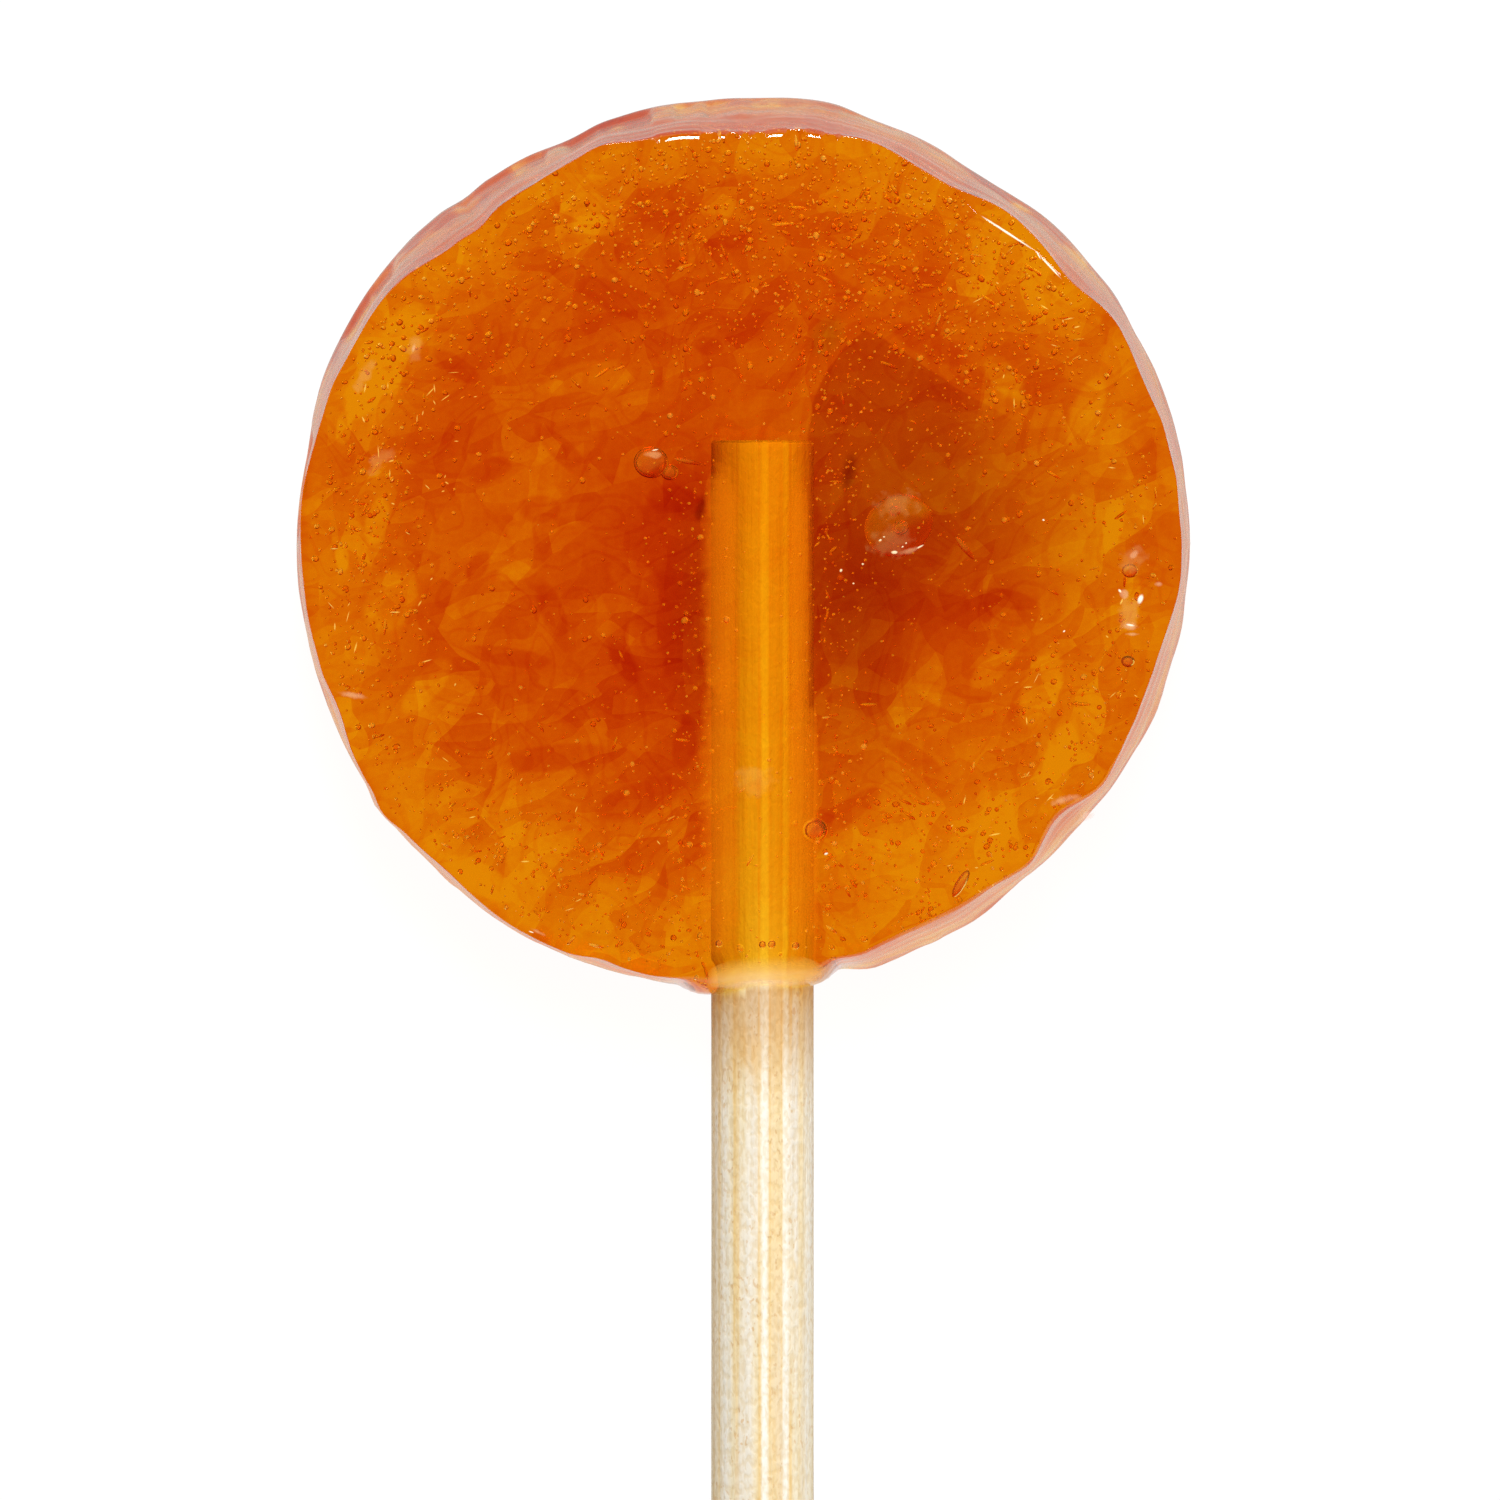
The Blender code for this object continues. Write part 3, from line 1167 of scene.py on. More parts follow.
@dataclass
class Sweet:
    """The poured sugar disc, its wall leaning in towards the front.

    A point of the even disc at radius r, direction d and height z moves to
    r * (R + outline(d) - rise(z) * inset(d)) / R, where R is the even radius,
    and the drawn lines and dents of the wall are added outwards. Numbers added
    to a coordinate of the noise only keep one use of it apart from the next.
    """

    diameter: float = 43.2 * MM
    front_rounding: float = 0.42 * MM
    sharp_rounding: float = 0.06 * MM
    lip_rounding: float = 0.4 * MM
    back_rounding: float = 0.3 * MM
    widest_height: float = 1.0 * MM
    front_shrink: float = 0.7 * MM
    edge_shrink: float = 0.38 * MM
    columns: int = 440
    front_rings: int = 56
    back_rings: int = 110
    wall_rings: int = 44
    ledge_depth: float = 0.26 * MM
    line_depth: float = 0.045 * MM
    dent_depth: float = 0.07 * MM
    wall_darkness: float = 0.62
    foot_darkness: float = 1.8
    painted_rim_shade: float = 0.45
    front_share: float = 0.25
    back_share: float = 1.75
    lip: Sector = Sector(272, 11, 7)
    lip_steepness: float = 6.0
    by_lip: Sector = Sector(272, 17, 9)
    close_columns: Sector = Sector(90, 20, 13)
    ledge_side: Sector = Sector(136, 48, 38)
    soft_edges: tuple[Sector, ...] = listed(Sector, (272, 16, 4), (308, 28, 16))
    broad_foot: tuple[Sector, ...] = listed(
        Sector, (47, 16, 6), (92, 20, 10), (126, 18, 8), (157, 20, 10), (5, 18, 8))
    brown_foot: tuple[Sector, ...] = listed(Sector, (132, 40, 24), (47, 17, 10.2))
    crease_line: Boundary = Boundary(
        (6.2, 7.2, 8.9, 10.2, 11.3, 14.2, 15.4), (19.1, 18.9, 18.1, 17.5, 16.3, 14.5, 13.3))
    crease_reach: Spot = Spot(13.0, 15.2, 3.9, 1.3, -42.0, edge=3.0)
    glints: tuple[tuple[float, float], ...] = (
        (95.7, 102.0), (92.2, 93.6), (90.2, 90.8), (88.6, 89.3), (84.3, 87.1), (79.2, 81.8),
        (77.0, 77.6))
    rim_fade_start: float = 12.0
    rim_fade_end: float = 20.6
    dark_middle: tuple[float, float] = (-0.9, 1.2)
    # The long spots beside the stick are its painted shadow; the rest are uneven tone.
    dark_spots: tuple[Spot, ...] = listed(
        Spot,
        (-3.1, -3.3, 6.4, 2.6, 90, 1.2), (-4.5, -2, 7.5, 5, 90, 0.25),
        (5.2, -4.2, 4.6, 2.6, 90, 0.55), (7.5, 4.2, 4.5, 4.5, 0, -0.5),
        (12.6, -2.8, 3.2, 1.4, 0, 0.35), (-2.7, 2.1, 1, 0.6, 60, 0.4),
        (5.1, 3.6, 0.9, 0.3, 80, 0.8, 2.5), (-2.1, 1.8, 0.6, 0.3, 75, 1.2, 2.5),
        (8.5, -14, 7, 5, 0, -0.35), (-9, -14, 7, 4, -25, -0.08), (-19.6, 3.5, 4, 1, 85, 0.2),
        (19.8, 4, 5, 1.1, 95, 0.35), (-16, 2.5, 2.2, 1, 70, 0.25), (-13.5, -8, 2.6, 1.1, 40, 0.35),
        (-10, 0, 5.5, 6.5, 0, -0.09), (-4.6, 9, 5, 4, 0, -0.05), (-18.3, 0, 5, 2.2, 90, -0.06),
    )
    dark_strokes: tuple[Spot, ...] = listed(
        Spot,
        (-9.3, -3.2, 1.7, 0.6, -67), (-11.4, -5.4, 2.3, 0.5, -9), (-8.8, 4.6, 1.9, 0.6, -45),
        (-5.9, -5.6, 1.4, 0.5, -60), (-12.3, 3.7, 1.2, 0.6, 20), (-9.9, 1.8, 1.1, 0.7, 0),
        (-1.7, 9.7, 0.8, 0.5, -10), (-6, 12, 2.5, 0.8, -20), (-2.1, 15.4, 3, 0.9, -10),
        (9, 9.8, 2.1, 0.7, -26), (-3.5, 2.3, 1.3, 0.7, 0), (12.8, -2.6, 1.6, 0.5, -10),
        (11.7, -3.2, 0.6, 0.4, 90), (-5, -12.3, 2.5, 0.9, 20), (-8.9, -10.3, 3, 0.7, 5),
        (-12.9, -1, 0.9, 0.5, 60), (4.9, -13, 2.2, 0.6, 35), (8.2, -10.2, 1.8, 0.5, -30),
        (-2.9, -9.6, 1.4, 0.6, 80), (-13.9, 8.7, 1.5, 0.5, -35),
    )
    light_strokes: tuple[Spot, ...] = listed(
        Spot,
        (-4.8, -4.9, 1.7, 0.8, -65), (-5.2, -1.7, 1.6, 0.9, -35), (-17.1, -2.6, 1.8, 1.3, 60),
        (-16.5, 10.3, 1.8, 1, 60), (-18.4, 7.5, 1.6, 0.9, 60), (-7.5, 8.1, 2.5, 0.9, 10),
        (-7, 15.6, 1.5, 0.6, 0), (5.1, 13.4, 2, 0.6, -35), (14.4, -6.9, 2, 1, 70),
        (15.3, -10.3, 1.8, 0.8, 75), (-12.8, -16.2, 2, 0.8, -30), (-15.4, -6.8, 1.8, 0.7, 50),
        (12.6, 8.2, 1.5, 0.7, -50), (16.6, 6.4, 2.1, 0.8, 70), (-10.9, -1.2, 1.3, 0.5, 15),
        (9.6, -7.4, 1.6, 0.5, -25), (-18.2, 9.3, 0.9, 0.5, 60), (-17.4, 7.9, 1.2, 0.5, 30),
        (-19.4, 5.7, 0.9, 0.4, 80), (-17.8, 1.2, 1.3, 0.6, 75), (-19.5, -0.6, 0.8, 0.4, 90),
        (17.9, 1, 1.4, 0.5, 80), (18.8, -2.8, 1.6, 0.5, 85), (12.1, -6, 1.5, 0.6, 40),
    )
    # Painted shadow: a dark patch right of the stick, crisp along these left and top lines.
    fold_left: Boundary = Boundary(
        (-7.4, -0.6, 5.4, 6.9, 8.5, 9.9, 10.8), (2.7, 3.0, 3.0, 3.2, 3.9, 5.0, 6.1))
    fold_top: Boundary = Boundary(
        (5.0, 6.8, 8.5, 10.7, 13.0, 17.0), (11.0, 10.1, 9.0, 7.5, 6.2, 5.0))
    painted_shadow_reach: Spot = Spot(5.6, 4.0, 6.4, 8.6, -12.0, edge=2.0)
    # The two long spots beside the stick brown its painted shadow.
    brown_spots: tuple[Spot, ...] = listed(
        Spot,
        (8, 4.5, 6.5, 4.5, 10, 0.25), (5, -4, 6, 3, 90, 0.85), (12, 1, 5, 4, 0, 0.5),
        (-2.2, -3, 6, 1.2, 90, 0.6), (4, 10.2, 1, 0.7, 60, 0.8, 2),
        (5.1, 3.6, 0.9, 0.3, 80, 1.5, 2.5), (-2.1, 1.8, 0.6, 0.2, 75, 1.5, 2.5),
    )
    noise: Lattice = field(default_factory=lambda: Lattice(5))

    def __post_init__(self) -> None:
        """Take the thickness from the solid sweet, and the stick's place from the stick's."""
        low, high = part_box("candy")
        self.thickness = high.z - low.z
        self.radius = self.diameter / 2.0
        stick_low, stick_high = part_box("stick")
        self.stick_x = (stick_low.x + stick_high.x) / 2.0
        self.stick_tip = stick_high.y
        self.stick_radius = (stick_high.x - stick_low.x) / 2.0

    def round_noise(self, directions: np.ndarray, row: np.ndarray | float,
                    turns: int = 2, layers: int = 3) -> np.ndarray:
        """Read layered noise round the sweet, which closes after a full turn.

        Args:
            directions: Directions in degrees.
            row: The lattice's other coordinate, in cells.
            turns: How many times one turn runs over the lattice.
            layers: How many layers.

        Returns:
            The noise.
        """
        return self.noise.layered(directions * (self.noise.cells * turns / 360.0),
                                  row + 0.0 * directions, layers)

    def lit(self, directions: np.ndarray) -> np.ndarray:
        """Where the front edge glints: 1 there and 0 between."""
        return sum(smooth_step(directions, low - 0.2, low + 0.2)
                   * smooth_step(directions, high + 0.2, high - 0.2)
                   for low, high in self.glints)

    def rounding(self, directions: np.ndarray) -> np.ndarray:
        """The front edge's rounding, wide at the glints and low down, nearly sharp elsewhere.

        Args:
            directions: Directions in degrees.

        Returns:
            Its radius in metres.
        """
        uneven = 0.5 + 0.5 * self.round_noise(directions, 5.0)
        low = np.minimum(sum_at(self.soft_edges, directions), 1.0)
        wide = np.maximum(self.lit(directions), 0.8 * low)
        return (self.sharp_rounding * (0.6 + 0.8 * uneven)
                + (self.front_rounding - self.sharp_rounding) * wide
                + self.lip_rounding * self.lip.at(directions))

    def profile(self, directions: np.ndarray) -> tuple[np.ndarray, np.ndarray]:
        """The even sweet's section in each direction, from the front's middle to the back's.

        Args:
            directions: One row of directions in degrees.

        Returns:
            Radius and height, a row for each ring.
        """
        turned = self.rounding(directions)
        share = np.linspace(0.0, 1.0, self.front_rings + 1)[1:-1, None] ** 0.6
        top = np.linspace(0.0, np.pi / 2.0, 10)[:, None]
        low = np.linspace(np.pi / 2.0, np.pi, 6)[:, None]
        down = np.linspace(0.0, 1.0, self.wall_rings)[1:-1, None]
        inward = np.linspace(1.0, 0.0, self.back_rings + 1)[1:-1, None]
        flat = 0.0 * turned
        radius = np.concatenate([
            share * (self.radius - turned), self.radius - turned * (1.0 - np.sin(top)),
            self.radius + 0.0 * down + flat,
            self.radius - self.back_rounding * (1.0 - np.sin(low)) + flat,
            inward * (self.radius - self.back_rounding) + flat])
        corner = self.thickness - turned
        height = np.concatenate([
            self.thickness + 0.0 * share + flat, corner + turned * np.cos(top),
            corner + (self.back_rounding - corner) * down,
            self.back_rounding * (1.0 + np.cos(low)) + flat, 0.0 * inward + flat])
        return radius, height

    def bearings(self) -> np.ndarray:
        """Place the columns: closer together at the top, where the edge glints.

        Returns:
            Their directions in degrees, spaced by the inverse of their closeness.
        """
        even = np.linspace(0.0, 360.0, 3601)
        close = 1.0 + 2.4 * self.close_columns.at(even)
        total = np.concatenate([[0.0], np.cumsum((close[1:] + close[:-1]) / 2.0)])
        steps = np.linspace(0.0, total[-1], self.columns, endpoint=False)
        return np.interp(steps, total, even)

    def edge(self, directions: np.ndarray, height: np.ndarray) -> np.ndarray:
        """The outline's radius, smaller the nearer to the front.

        Args:
            directions: Directions in degrees.
            height: Heights in metres.

        Returns:
            The radius in metres.
        """
        swell = sum_at(OUTLINE_SWELLS + OUTLINE_TOUCHES, directions)
        even = self.front_shrink * np.sin(np.radians(directions)) ** 2
        inset = even + sum_at(FRONT_HOLLOWS + EDGE_HOLLOWS, directions)
        rise = (height - self.widest_height) / (self.thickness - self.widest_height)
        rise = np.maximum(rise, 0.0) ** (1.0 + self.lip_steepness * self.lip.at(directions))
        return self.radius + swell - (inset + self.edge_shrink) * rise

    def ledge(self, directions: np.ndarray, height: np.ndarray) -> np.ndarray:
        """How much of the foot's broken ledge there is, most at the upper left.

        Args:
            directions: Directions in degrees.
            height: Heights in metres.

        Returns:
            Numbers from 0 to 1.
        """
        broken = smooth_step(self.round_noise(directions, 17.0, layers=2), -0.25, 0.35)
        return (broken * (0.30 + 0.70 * self.ledge_side.at(directions))
                * smooth_step(height, 0.5 * MM, 1.3 * MM)
                * smooth_step(height, 6.0 * MM, 2.2 * MM))

    def wall_relief(self, directions: np.ndarray, height: np.ndarray) -> np.ndarray:
        """How far the wall stands out: drawn lines round it, shallow dents, less the ledge.

        Args:
            directions: Directions in degrees.
            height: Heights in metres.

        Returns:
            The distance in metres.
        """
        lines = self.round_noise(directions, height / (0.9 * MM) + 9.0, turns=1)
        dents = self.round_noise(directions, height / (3.0 * MM) + 31.0, turns=1, layers=1)
        return (self.line_depth * lines + self.dent_depth * dents
                - self.ledge_depth * self.ledge(directions, height))

    def rings(self, directions: np.ndarray, radius: np.ndarray, height: np.ndarray) -> Rings:
        """Push the even disc into the sweet's own outline, with the wall's relief.

        Args:
            directions: The columns' directions in degrees, a row.
            radius: The even disc's radius at each point.
            height: Each point's height.

        Returns:
            The sweet's surface.
        """
        turn = np.radians(directions)
        near_edge = smooth_step(radius, self.radius - 0.6 * MM, self.radius)
        reach = (radius * (self.edge(directions, height) / self.radius)
                 + near_edge * self.wall_relief(directions, height))
        points = np.stack([reach * np.cos(turn), reach * np.sin(turn), height], axis=-1)
        steps = np.hypot(np.diff(radius[:, 0]), np.diff(height[:, 0]))
        return Rings(points, np.array([0.0, 0.0, self.thickness]), np.zeros(3),
                     np.append(turn[0], FULL_TURN) * self.radius,
                     np.concatenate([[0.0], np.cumsum(steps)]))

    def build(self) -> bpy.types.Object:
        """Make the sweet's mesh, store what its finish reads, and dress it.

        Returns:
            The sweet.
        """
        directions = self.bearings()[None, :]
        radius, height = self.profile(directions)
        rings = self.rings(directions, radius, height)
        piece = ringed_piece("amber_sweet", rings)
        bend = np.clip(1.0 - (self.radius - radius) / self.rounding(directions), 0.0, 1.0)
        bend = bend * smooth_step(height, self.thickness - 0.25 * MM, self.thickness - 0.1 * MM)
        wall = (smooth_step(height, self.thickness - 0.05 * MM, self.thickness - 0.8 * MM)
                * smooth_step(height, 0.05 * MM, 0.3 * MM))
        wall = np.maximum(wall, 0.3 * bend * (1.0 - self.lit(directions)))
        dry = 1.0 - self.by_lip.at(directions)
        # Painted shade along the rims of the faces.
        at_rim = smooth_step(self.radius - radius, 0.6 * MM, 0.1 * MM) * dry
        self.store(piece, rings, wall * dry, self.wall_depth(directions, height),
                   self.painted_rim_shade * at_rim * (1.0 - wall))
        piece.data.materials.append(AmberSugar().make())
        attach(piece, BODY)
        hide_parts("candy")
        return piece

    def wall_depth(self, directions: np.ndarray, height: np.ndarray) -> np.ndarray:
        """How dark the side wall is: even, and darker at its foot, where that is broad or brown.

        Args:
            directions: Directions in degrees.
            height: Heights in metres.

        Returns:
            The darkness.
        """
        patchy = self.round_noise(directions, height / (2.0 * MM) + 50.0)
        broad = sum_at(self.broad_foot, directions)
        browner = 1.0 + 1.1 * sum_at(self.brown_foot, directions)
        foot = smooth_step(height + patchy * (0.9 + 2.2 * broad) * MM,
                           (2.1 + 1.4 * broad) * MM, 1.1 * MM)
        return self.wall_darkness + self.foot_darkness * browner * foot

    def store(self, piece: bpy.types.Object, rings: Rings, wall: np.ndarray,
              wall_darkness: np.ndarray, painted_rim_shade: np.ndarray) -> None:
        """Store what the material reads at each point.

        Args:
            piece: The sweet.
            rings: Its surface.
            wall: How much each ring point belongs to the side wall, from 0 to 1.
            wall_darkness: The darkness it has as a part of the wall.
            painted_rim_shade: The painted shade it has besides near the rim of a face.
        """
        x, y, z = rings.all_points().T
        wall, on_wall, on_rim = (np.concatenate([values.reshape(-1), [0.0, 0.0]])
                                 for values in (wall, wall_darkness, painted_rim_shade))
        face = np.where(z < 0.3 * MM, self.back_share, self.front_share)
        on_front = smooth_step(z, 7.5 * MM, 7.9 * MM)
        write_fields(
            piece, wall=wall,
            darkness=self.darkness(x, y) * (1.0 - wall) + on_wall * wall + on_rim,
            share=face * (1.0 - wall) + wall, brown=sum_at(self.brown_spots, x, y),
            dark_strokes=inside_ovals(self.dark_strokes, x, y) - 3.0 * wall,
            light_strokes=inside_ovals(self.light_strokes, x, y) - 3.0 * wall,
            fold_left=self.fold_left.beyond(y, x), fold_top=self.fold_top.beyond(x, y),
            fold=self.painted_shadow_reach.at(x, y) * (1.0 - wall),
            crease=self.crease_line.beyond(x, y) * 0.75,
            crease_reach=self.crease_reach.at(x, y) * on_front)

    def darkness(self, x: np.ndarray, y: np.ndarray) -> np.ndarray:
        """How much darker the sugar looks than at its rim: a plateau in the middle, painted shade
        that leaves the rim lighter as if lit through the wall, and spots, the long ones beside the
        stick its painted shadow.

        Args:
            x: Places in metres.
            y: Places, likewise.

        Returns:
            The darkness.
        """
        mid_x, mid_y = self.dark_middle
        away = np.hypot(x / MM - mid_x, (y / MM - mid_y) * 0.95)
        uneven = 1.6 * self.noise.layered(x / (7.0 * MM) + 20.0, y / (7.0 * MM) + 20.0)
        # Painted shade: the plateau darkens the middle, so the rim looks lit.
        plateau = smooth_step(away + uneven, self.rim_fade_end, self.rim_fade_start)
        return np.maximum(0.3 + 0.9 * plateau + sum_at(self.dark_spots, x, y), 0.0)


# ---------------------------------------------------------------- what is shut in the sugar


def ball(columns: int, rings: int) -> tuple[np.ndarray, np.ndarray, np.ndarray]:
    """A unit ball's points and faces: circles round X between two poles.

    Args:
        columns: Points round each circle.
        rings: Circles between the poles.

    Returns:
        Points, quads and triangles.
    """
    turn = np.linspace(0.0, FULL_TURN, columns, endpoint=False)[None, :]
    tilt = np.linspace(0.0, np.pi, rings + 2)[1:-1][:, None]
    points = np.stack([np.cos(tilt) + 0.0 * turn, np.sin(tilt) * np.cos(turn),
                       np.sin(tilt) * np.sin(turn)], axis=-1)
    shape = Rings(points, np.array([1.0, 0.0, 0.0]), np.array([-1.0, 0.0, 0.0]),
                  np.zeros(columns + 1), np.zeros(rings))
    quads, caps, _ = shape.corners()
    return shape.all_points(), quads, caps


def joined_balls(name: str, places: np.ndarray, frames: np.ndarray, columns: int,
                 rings: int) -> bpy.types.Object:
    """Join balls in one piece: place + frame times the unit ball's points for each.

    It stores how far each point faces up and a little to the left, towards the light, for the
    painted shade on each bubble's far side.

    Args:
        name: The piece's name.
        places: Middles, of shape (n, 3).
        frames: Half-axes as the columns of n 3 x 3 matrices, the first along the length.
        columns: Sides of each ball.
        rings: Circles on each ball.

    Returns:
        The piece.
    """
    points, quads, caps = ball(columns, rings)
    reach = np.einsum("nij,pj->npi", frames, points)
    shift = (np.arange(len(places)) * len(points))[:, None, None]
    piece = make_piece(name, (reach + places[:, None, :]).reshape(-1, 3),
                       (quads[None] + shift).reshape(-1, 4), (caps[None] + shift).reshape(-1, 3))
    light_direction = np.array([-0.40, 0.72, 0.57])
    facing = reach / np.linalg.norm(reach, axis=-1, keepdims=True) @ light_direction
    write_fields(piece, upper=facing)
    return piece


def dress_sunk(piece: bpy.types.Object, skin: bpy.types.Material) -> bpy.types.Object:
    """Dress a piece that is shut in the sugar, so that it neither shades nor dims things.

    Args:
        piece: The piece.
        skin: Its material.

    Returns:
        The piece.
    """
    piece.data.materials.append(skin)
    piece.visible_shadow = False
    piece.visible_diffuse = False
    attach(piece, BODY)
    return piece


@dataclass(frozen=True)
class Pocket:
    """A pocket that the photograph shows singly, its numbers in millimetres.

    Attributes:
        x: Middle, from the sweet's middle.
        y: Middle, likewise.
        depth: How far its middle lies under the sweet's front.
        along: Half its length.
        across: Half its width.
        turn: Its length's direction, in degrees from +X.
        flat: Its half-thickness over its half-width.
    """

    x: float
    y: float
    depth: float
    along: float
    across: float
    turn: float = 0.0
    flat: float = 1.0


@dataclass
class Pockets:
    """The large bubbles, milky blisters and painted glints just under the sweet's front."""

    sweet: Sweet
    sides: int = 28
    circles: int = 17
    wisp_seed: int = 77
    wisp_arcs: tuple[tuple[float, float, int], ...] = (
        (148.0, 200.0, 34), (200.0, 255.0, 10), (300.0, 345.0, 18), (-15.0, 50.0, 16))
    large: tuple[Pocket, ...] = listed(
        Pocket,
        (-4.5, 4.35, 1.2, 0.85, 0.78, 0, 0.55), (7.57, 1.2, 1, 0.42, 0.38),
        (3.45, -13.5, 1.1, 0.62, 0.6), (10.7, 0.2, 1, 0.72, 0.16, -50),
        (-2.7, 4.4, 1, 0.7, 0.12, -12), (10.5, -16.1, 0.9, 0.75, 0.26, 60),
        (7.3, 2, 0.9, 0.3, 0.26), (18.7, -0.9, 0.9, 0.4, 0.34, 0, 0.5),
        (18.6, -5.3, 0.9, 0.35, 0.3), (-1.2, -19, 0.7, 0.2, 0.2), (0.9, -19, 0.7, 0.19, 0.19),
        (1.35, -19, 0.7, 0.2, 0.2), (2.5, -19.1, 0.7, 0.2, 0.2),
        (7.5, 1.25, 1.9, 1.7, 1.5, 25, 0.22), (-3.6, 3.85, 1.4, 0.45, 0.4),
    )
    hazes: tuple[Pocket, ...] = listed(
        Pocket,
        (7.38, 2.36, 0.2, 1.35, 0.85, 8, 0.1), (7.1, 0.6, 0.2, 1.3, 1, 20, 0.1),
        (18.85, -0.25, 0.2, 0.9, 0.7, 45, 0.12), (18.6, -3, 0.2, 1.1, 0.6, 80, 0.12),
        (-15.9, 9.9, 0.2, 0.8, 0.5, 75, 0.2), (-18.4, 8.6, 0.2, 1.1, 0.4, 60, 0.3),
        (-17.6, 4.5, 0.2, 1, 0.5, 45, 0.2), (0.55, -11.1, 0.4, 1.2, 0.95, 10, 0.1),
    )
    blisters: tuple[Pocket, ...] = listed(
        Pocket,
        (8.06, 0.12, 0.2, 0.75, 0.18, 17, 0.4), (18.9, -0.1, 0.15, 0.3, 0.2, 45, 0.3),
        (20.1, -1.5, 0.15, 0.25, 0.18, 0, 0.3), (18.4, -2, 0.15, 0.3, 0.24, -50, 0.3),
        (18.66, -3.57, 0.15, 0.5, 0.26, -10, 0.3), (18.75, -3.95, 0.3, 0.42, 0.1, 0, 0.5),
        (-4.4, 4.75, 0.3, 0.5, 0.2, -5, 0.3), (-10, -18.4, 0.3, 0.5, 0.12, -25, 0.5),
        (16.6, -12.8, 0.3, 0.6, 0.25, 35, 0.4), (-16, 9.9, 0.2, 0.3, 0.12, 75, 0.3),
        (-18.9, -6.9, 0.2, 0.9, 0.2, -12, 0.3), (15.5, -12, 0.2, 1, 0.25, 12, 0.3),
    )
    # Painted highlights: white flecks where the surface glints, and thin lines along the crease's
    # glint.
    specks: tuple[Pocket, ...] = tuple(
        Pocket(x, y, 0.12, along, across, turn, 0.5) for x, y, along, across, turn in (
            (7.28, 0.03, 0.19, 0.1, 0), (8.52, 0.3, 0.24, 0.06, 27), (6.6, 0.62, 0.1, 0.06, 25),
            (6.78, 0.78, 0.07, 0.04, 0), (7.68, 0.3, 0.08, 0.05, 45), (7.85, 0.48, 0.06, 0.04, 45),
            (5.75, -0.54, 0.07, 0.06, 0), (4.7, -0.85, 0.09, 0.07, 60),
            (5.3, -1.48, 0.06, 0.05, 0), (19.2, -2.22, 0.3, 0.17, 72),
            (18.2, -1.84, 0.12, 0.07, -50), (18.7, -3.5, 0.26, 0.07, -10),
            (14.5, 1.6, 0.08, 0.06, 0), (-4.3, 5, 0.2, 0.04, 10), (3.98, -14.6, 0.12, 0.07, 20),
            (-10.3, -18.4, 0.18, 0.04, -20), (15.5, -3.8, 0.08, 0.05, 40),
            (12.74, 15.53, 1.8, 0.07, -33), (14.25, 14.45, 0.25, 0.04, -60),
            (14.85, 13.85, 0.85, 0.055, -47),
        ))
    froth: tuple[Pocket, ...] = listed(
        Pocket,
        (-1.05, -1.6, 1.7, 6.4, 1.25, 90, 0.2), (-1.1, -12.6, 1.7, 8.2, 1.3, 90, 0.2),
        (2.6, -2.2, 1.7, 6.4, 0.75, 90, 0.3), (2.6, -13, 1.7, 7.8, 0.75, 90, 0.3),
        (3.3, -13.8, 1.9, 7, 0.42, 90, 0.3),
    )
    lip_haze: tuple[Pocket, ...] = listed(Pocket, (1.05, -20.4, 1.1, 3, 0.95, 3, 0.08))

    def wisps(self) -> tuple[Pocket, ...]:
        """Draw the thin golden wisps near the rim, in a few arcs of directions.

        Returns:
            The wisps.
        """
        draw = np.random.default_rng(self.wisp_seed)
        low, high, count = np.array(self.wisp_arcs).T
        low, high = np.repeat(low, count.astype(int)), np.repeat(high, count.astype(int))
        direction = np.radians(draw.uniform(low, high))
        reach = draw.uniform(14.5, 20.2, len(low))
        along = 0.10 + 0.28 * draw.random(len(low)) ** 2
        turn = draw.uniform(0.0, 180.0, len(low))
        depth = draw.uniform(0.15, 0.4, len(low))
        across = draw.uniform(0.025, 0.05, len(low))
        rows = np.stack([reach * np.cos(direction), reach * np.sin(direction), depth, along,
                         across, turn, np.full(len(low), 0.6)], axis=-1)
        return listed(Pocket, *rows.tolist())

    def joined(self, name: str, pockets: tuple[Pocket, ...],
               bluntness: float = 2.0) -> bpy.types.Object:
        """Join pockets in one piece, each a ball stretched, flattened and turned.

        It stores how near each point lies to its pocket's middle, from 0 to 1.

        Args:
            name: The piece's name.
            pockets: The pockets.
            bluntness: How far towards the ends that nearness holds.

        Returns:
            The piece.
        """
        x, y, depth, along, across, turn, flat = np.array([
            (p.x, p.y, p.depth, p.along, p.across, math.radians(p.turn), p.flat)
            for p in pockets]).T
        zero = 0.0 * x
        frames = MM * np.stack([
            np.stack([along * np.cos(turn), along * np.sin(turn), zero], axis=-1),
            np.stack([-across * np.sin(turn), across * np.cos(turn), zero], axis=-1),
            np.stack([zero, zero, across * flat], axis=-1)], axis=-1)
        places = np.stack([x * MM, y * MM, self.sweet.thickness - depth * MM], axis=-1)
        piece = joined_balls(name, places, frames, self.sides, self.circles)
        points, _, _ = ball(self.sides, self.circles)
        out = np.sqrt(np.abs(points[:, 0]) ** bluntness + points[:, 1] ** 2)
        write_fields(piece, closeness=np.tile(1.0 - out, len(pockets)))
        return piece

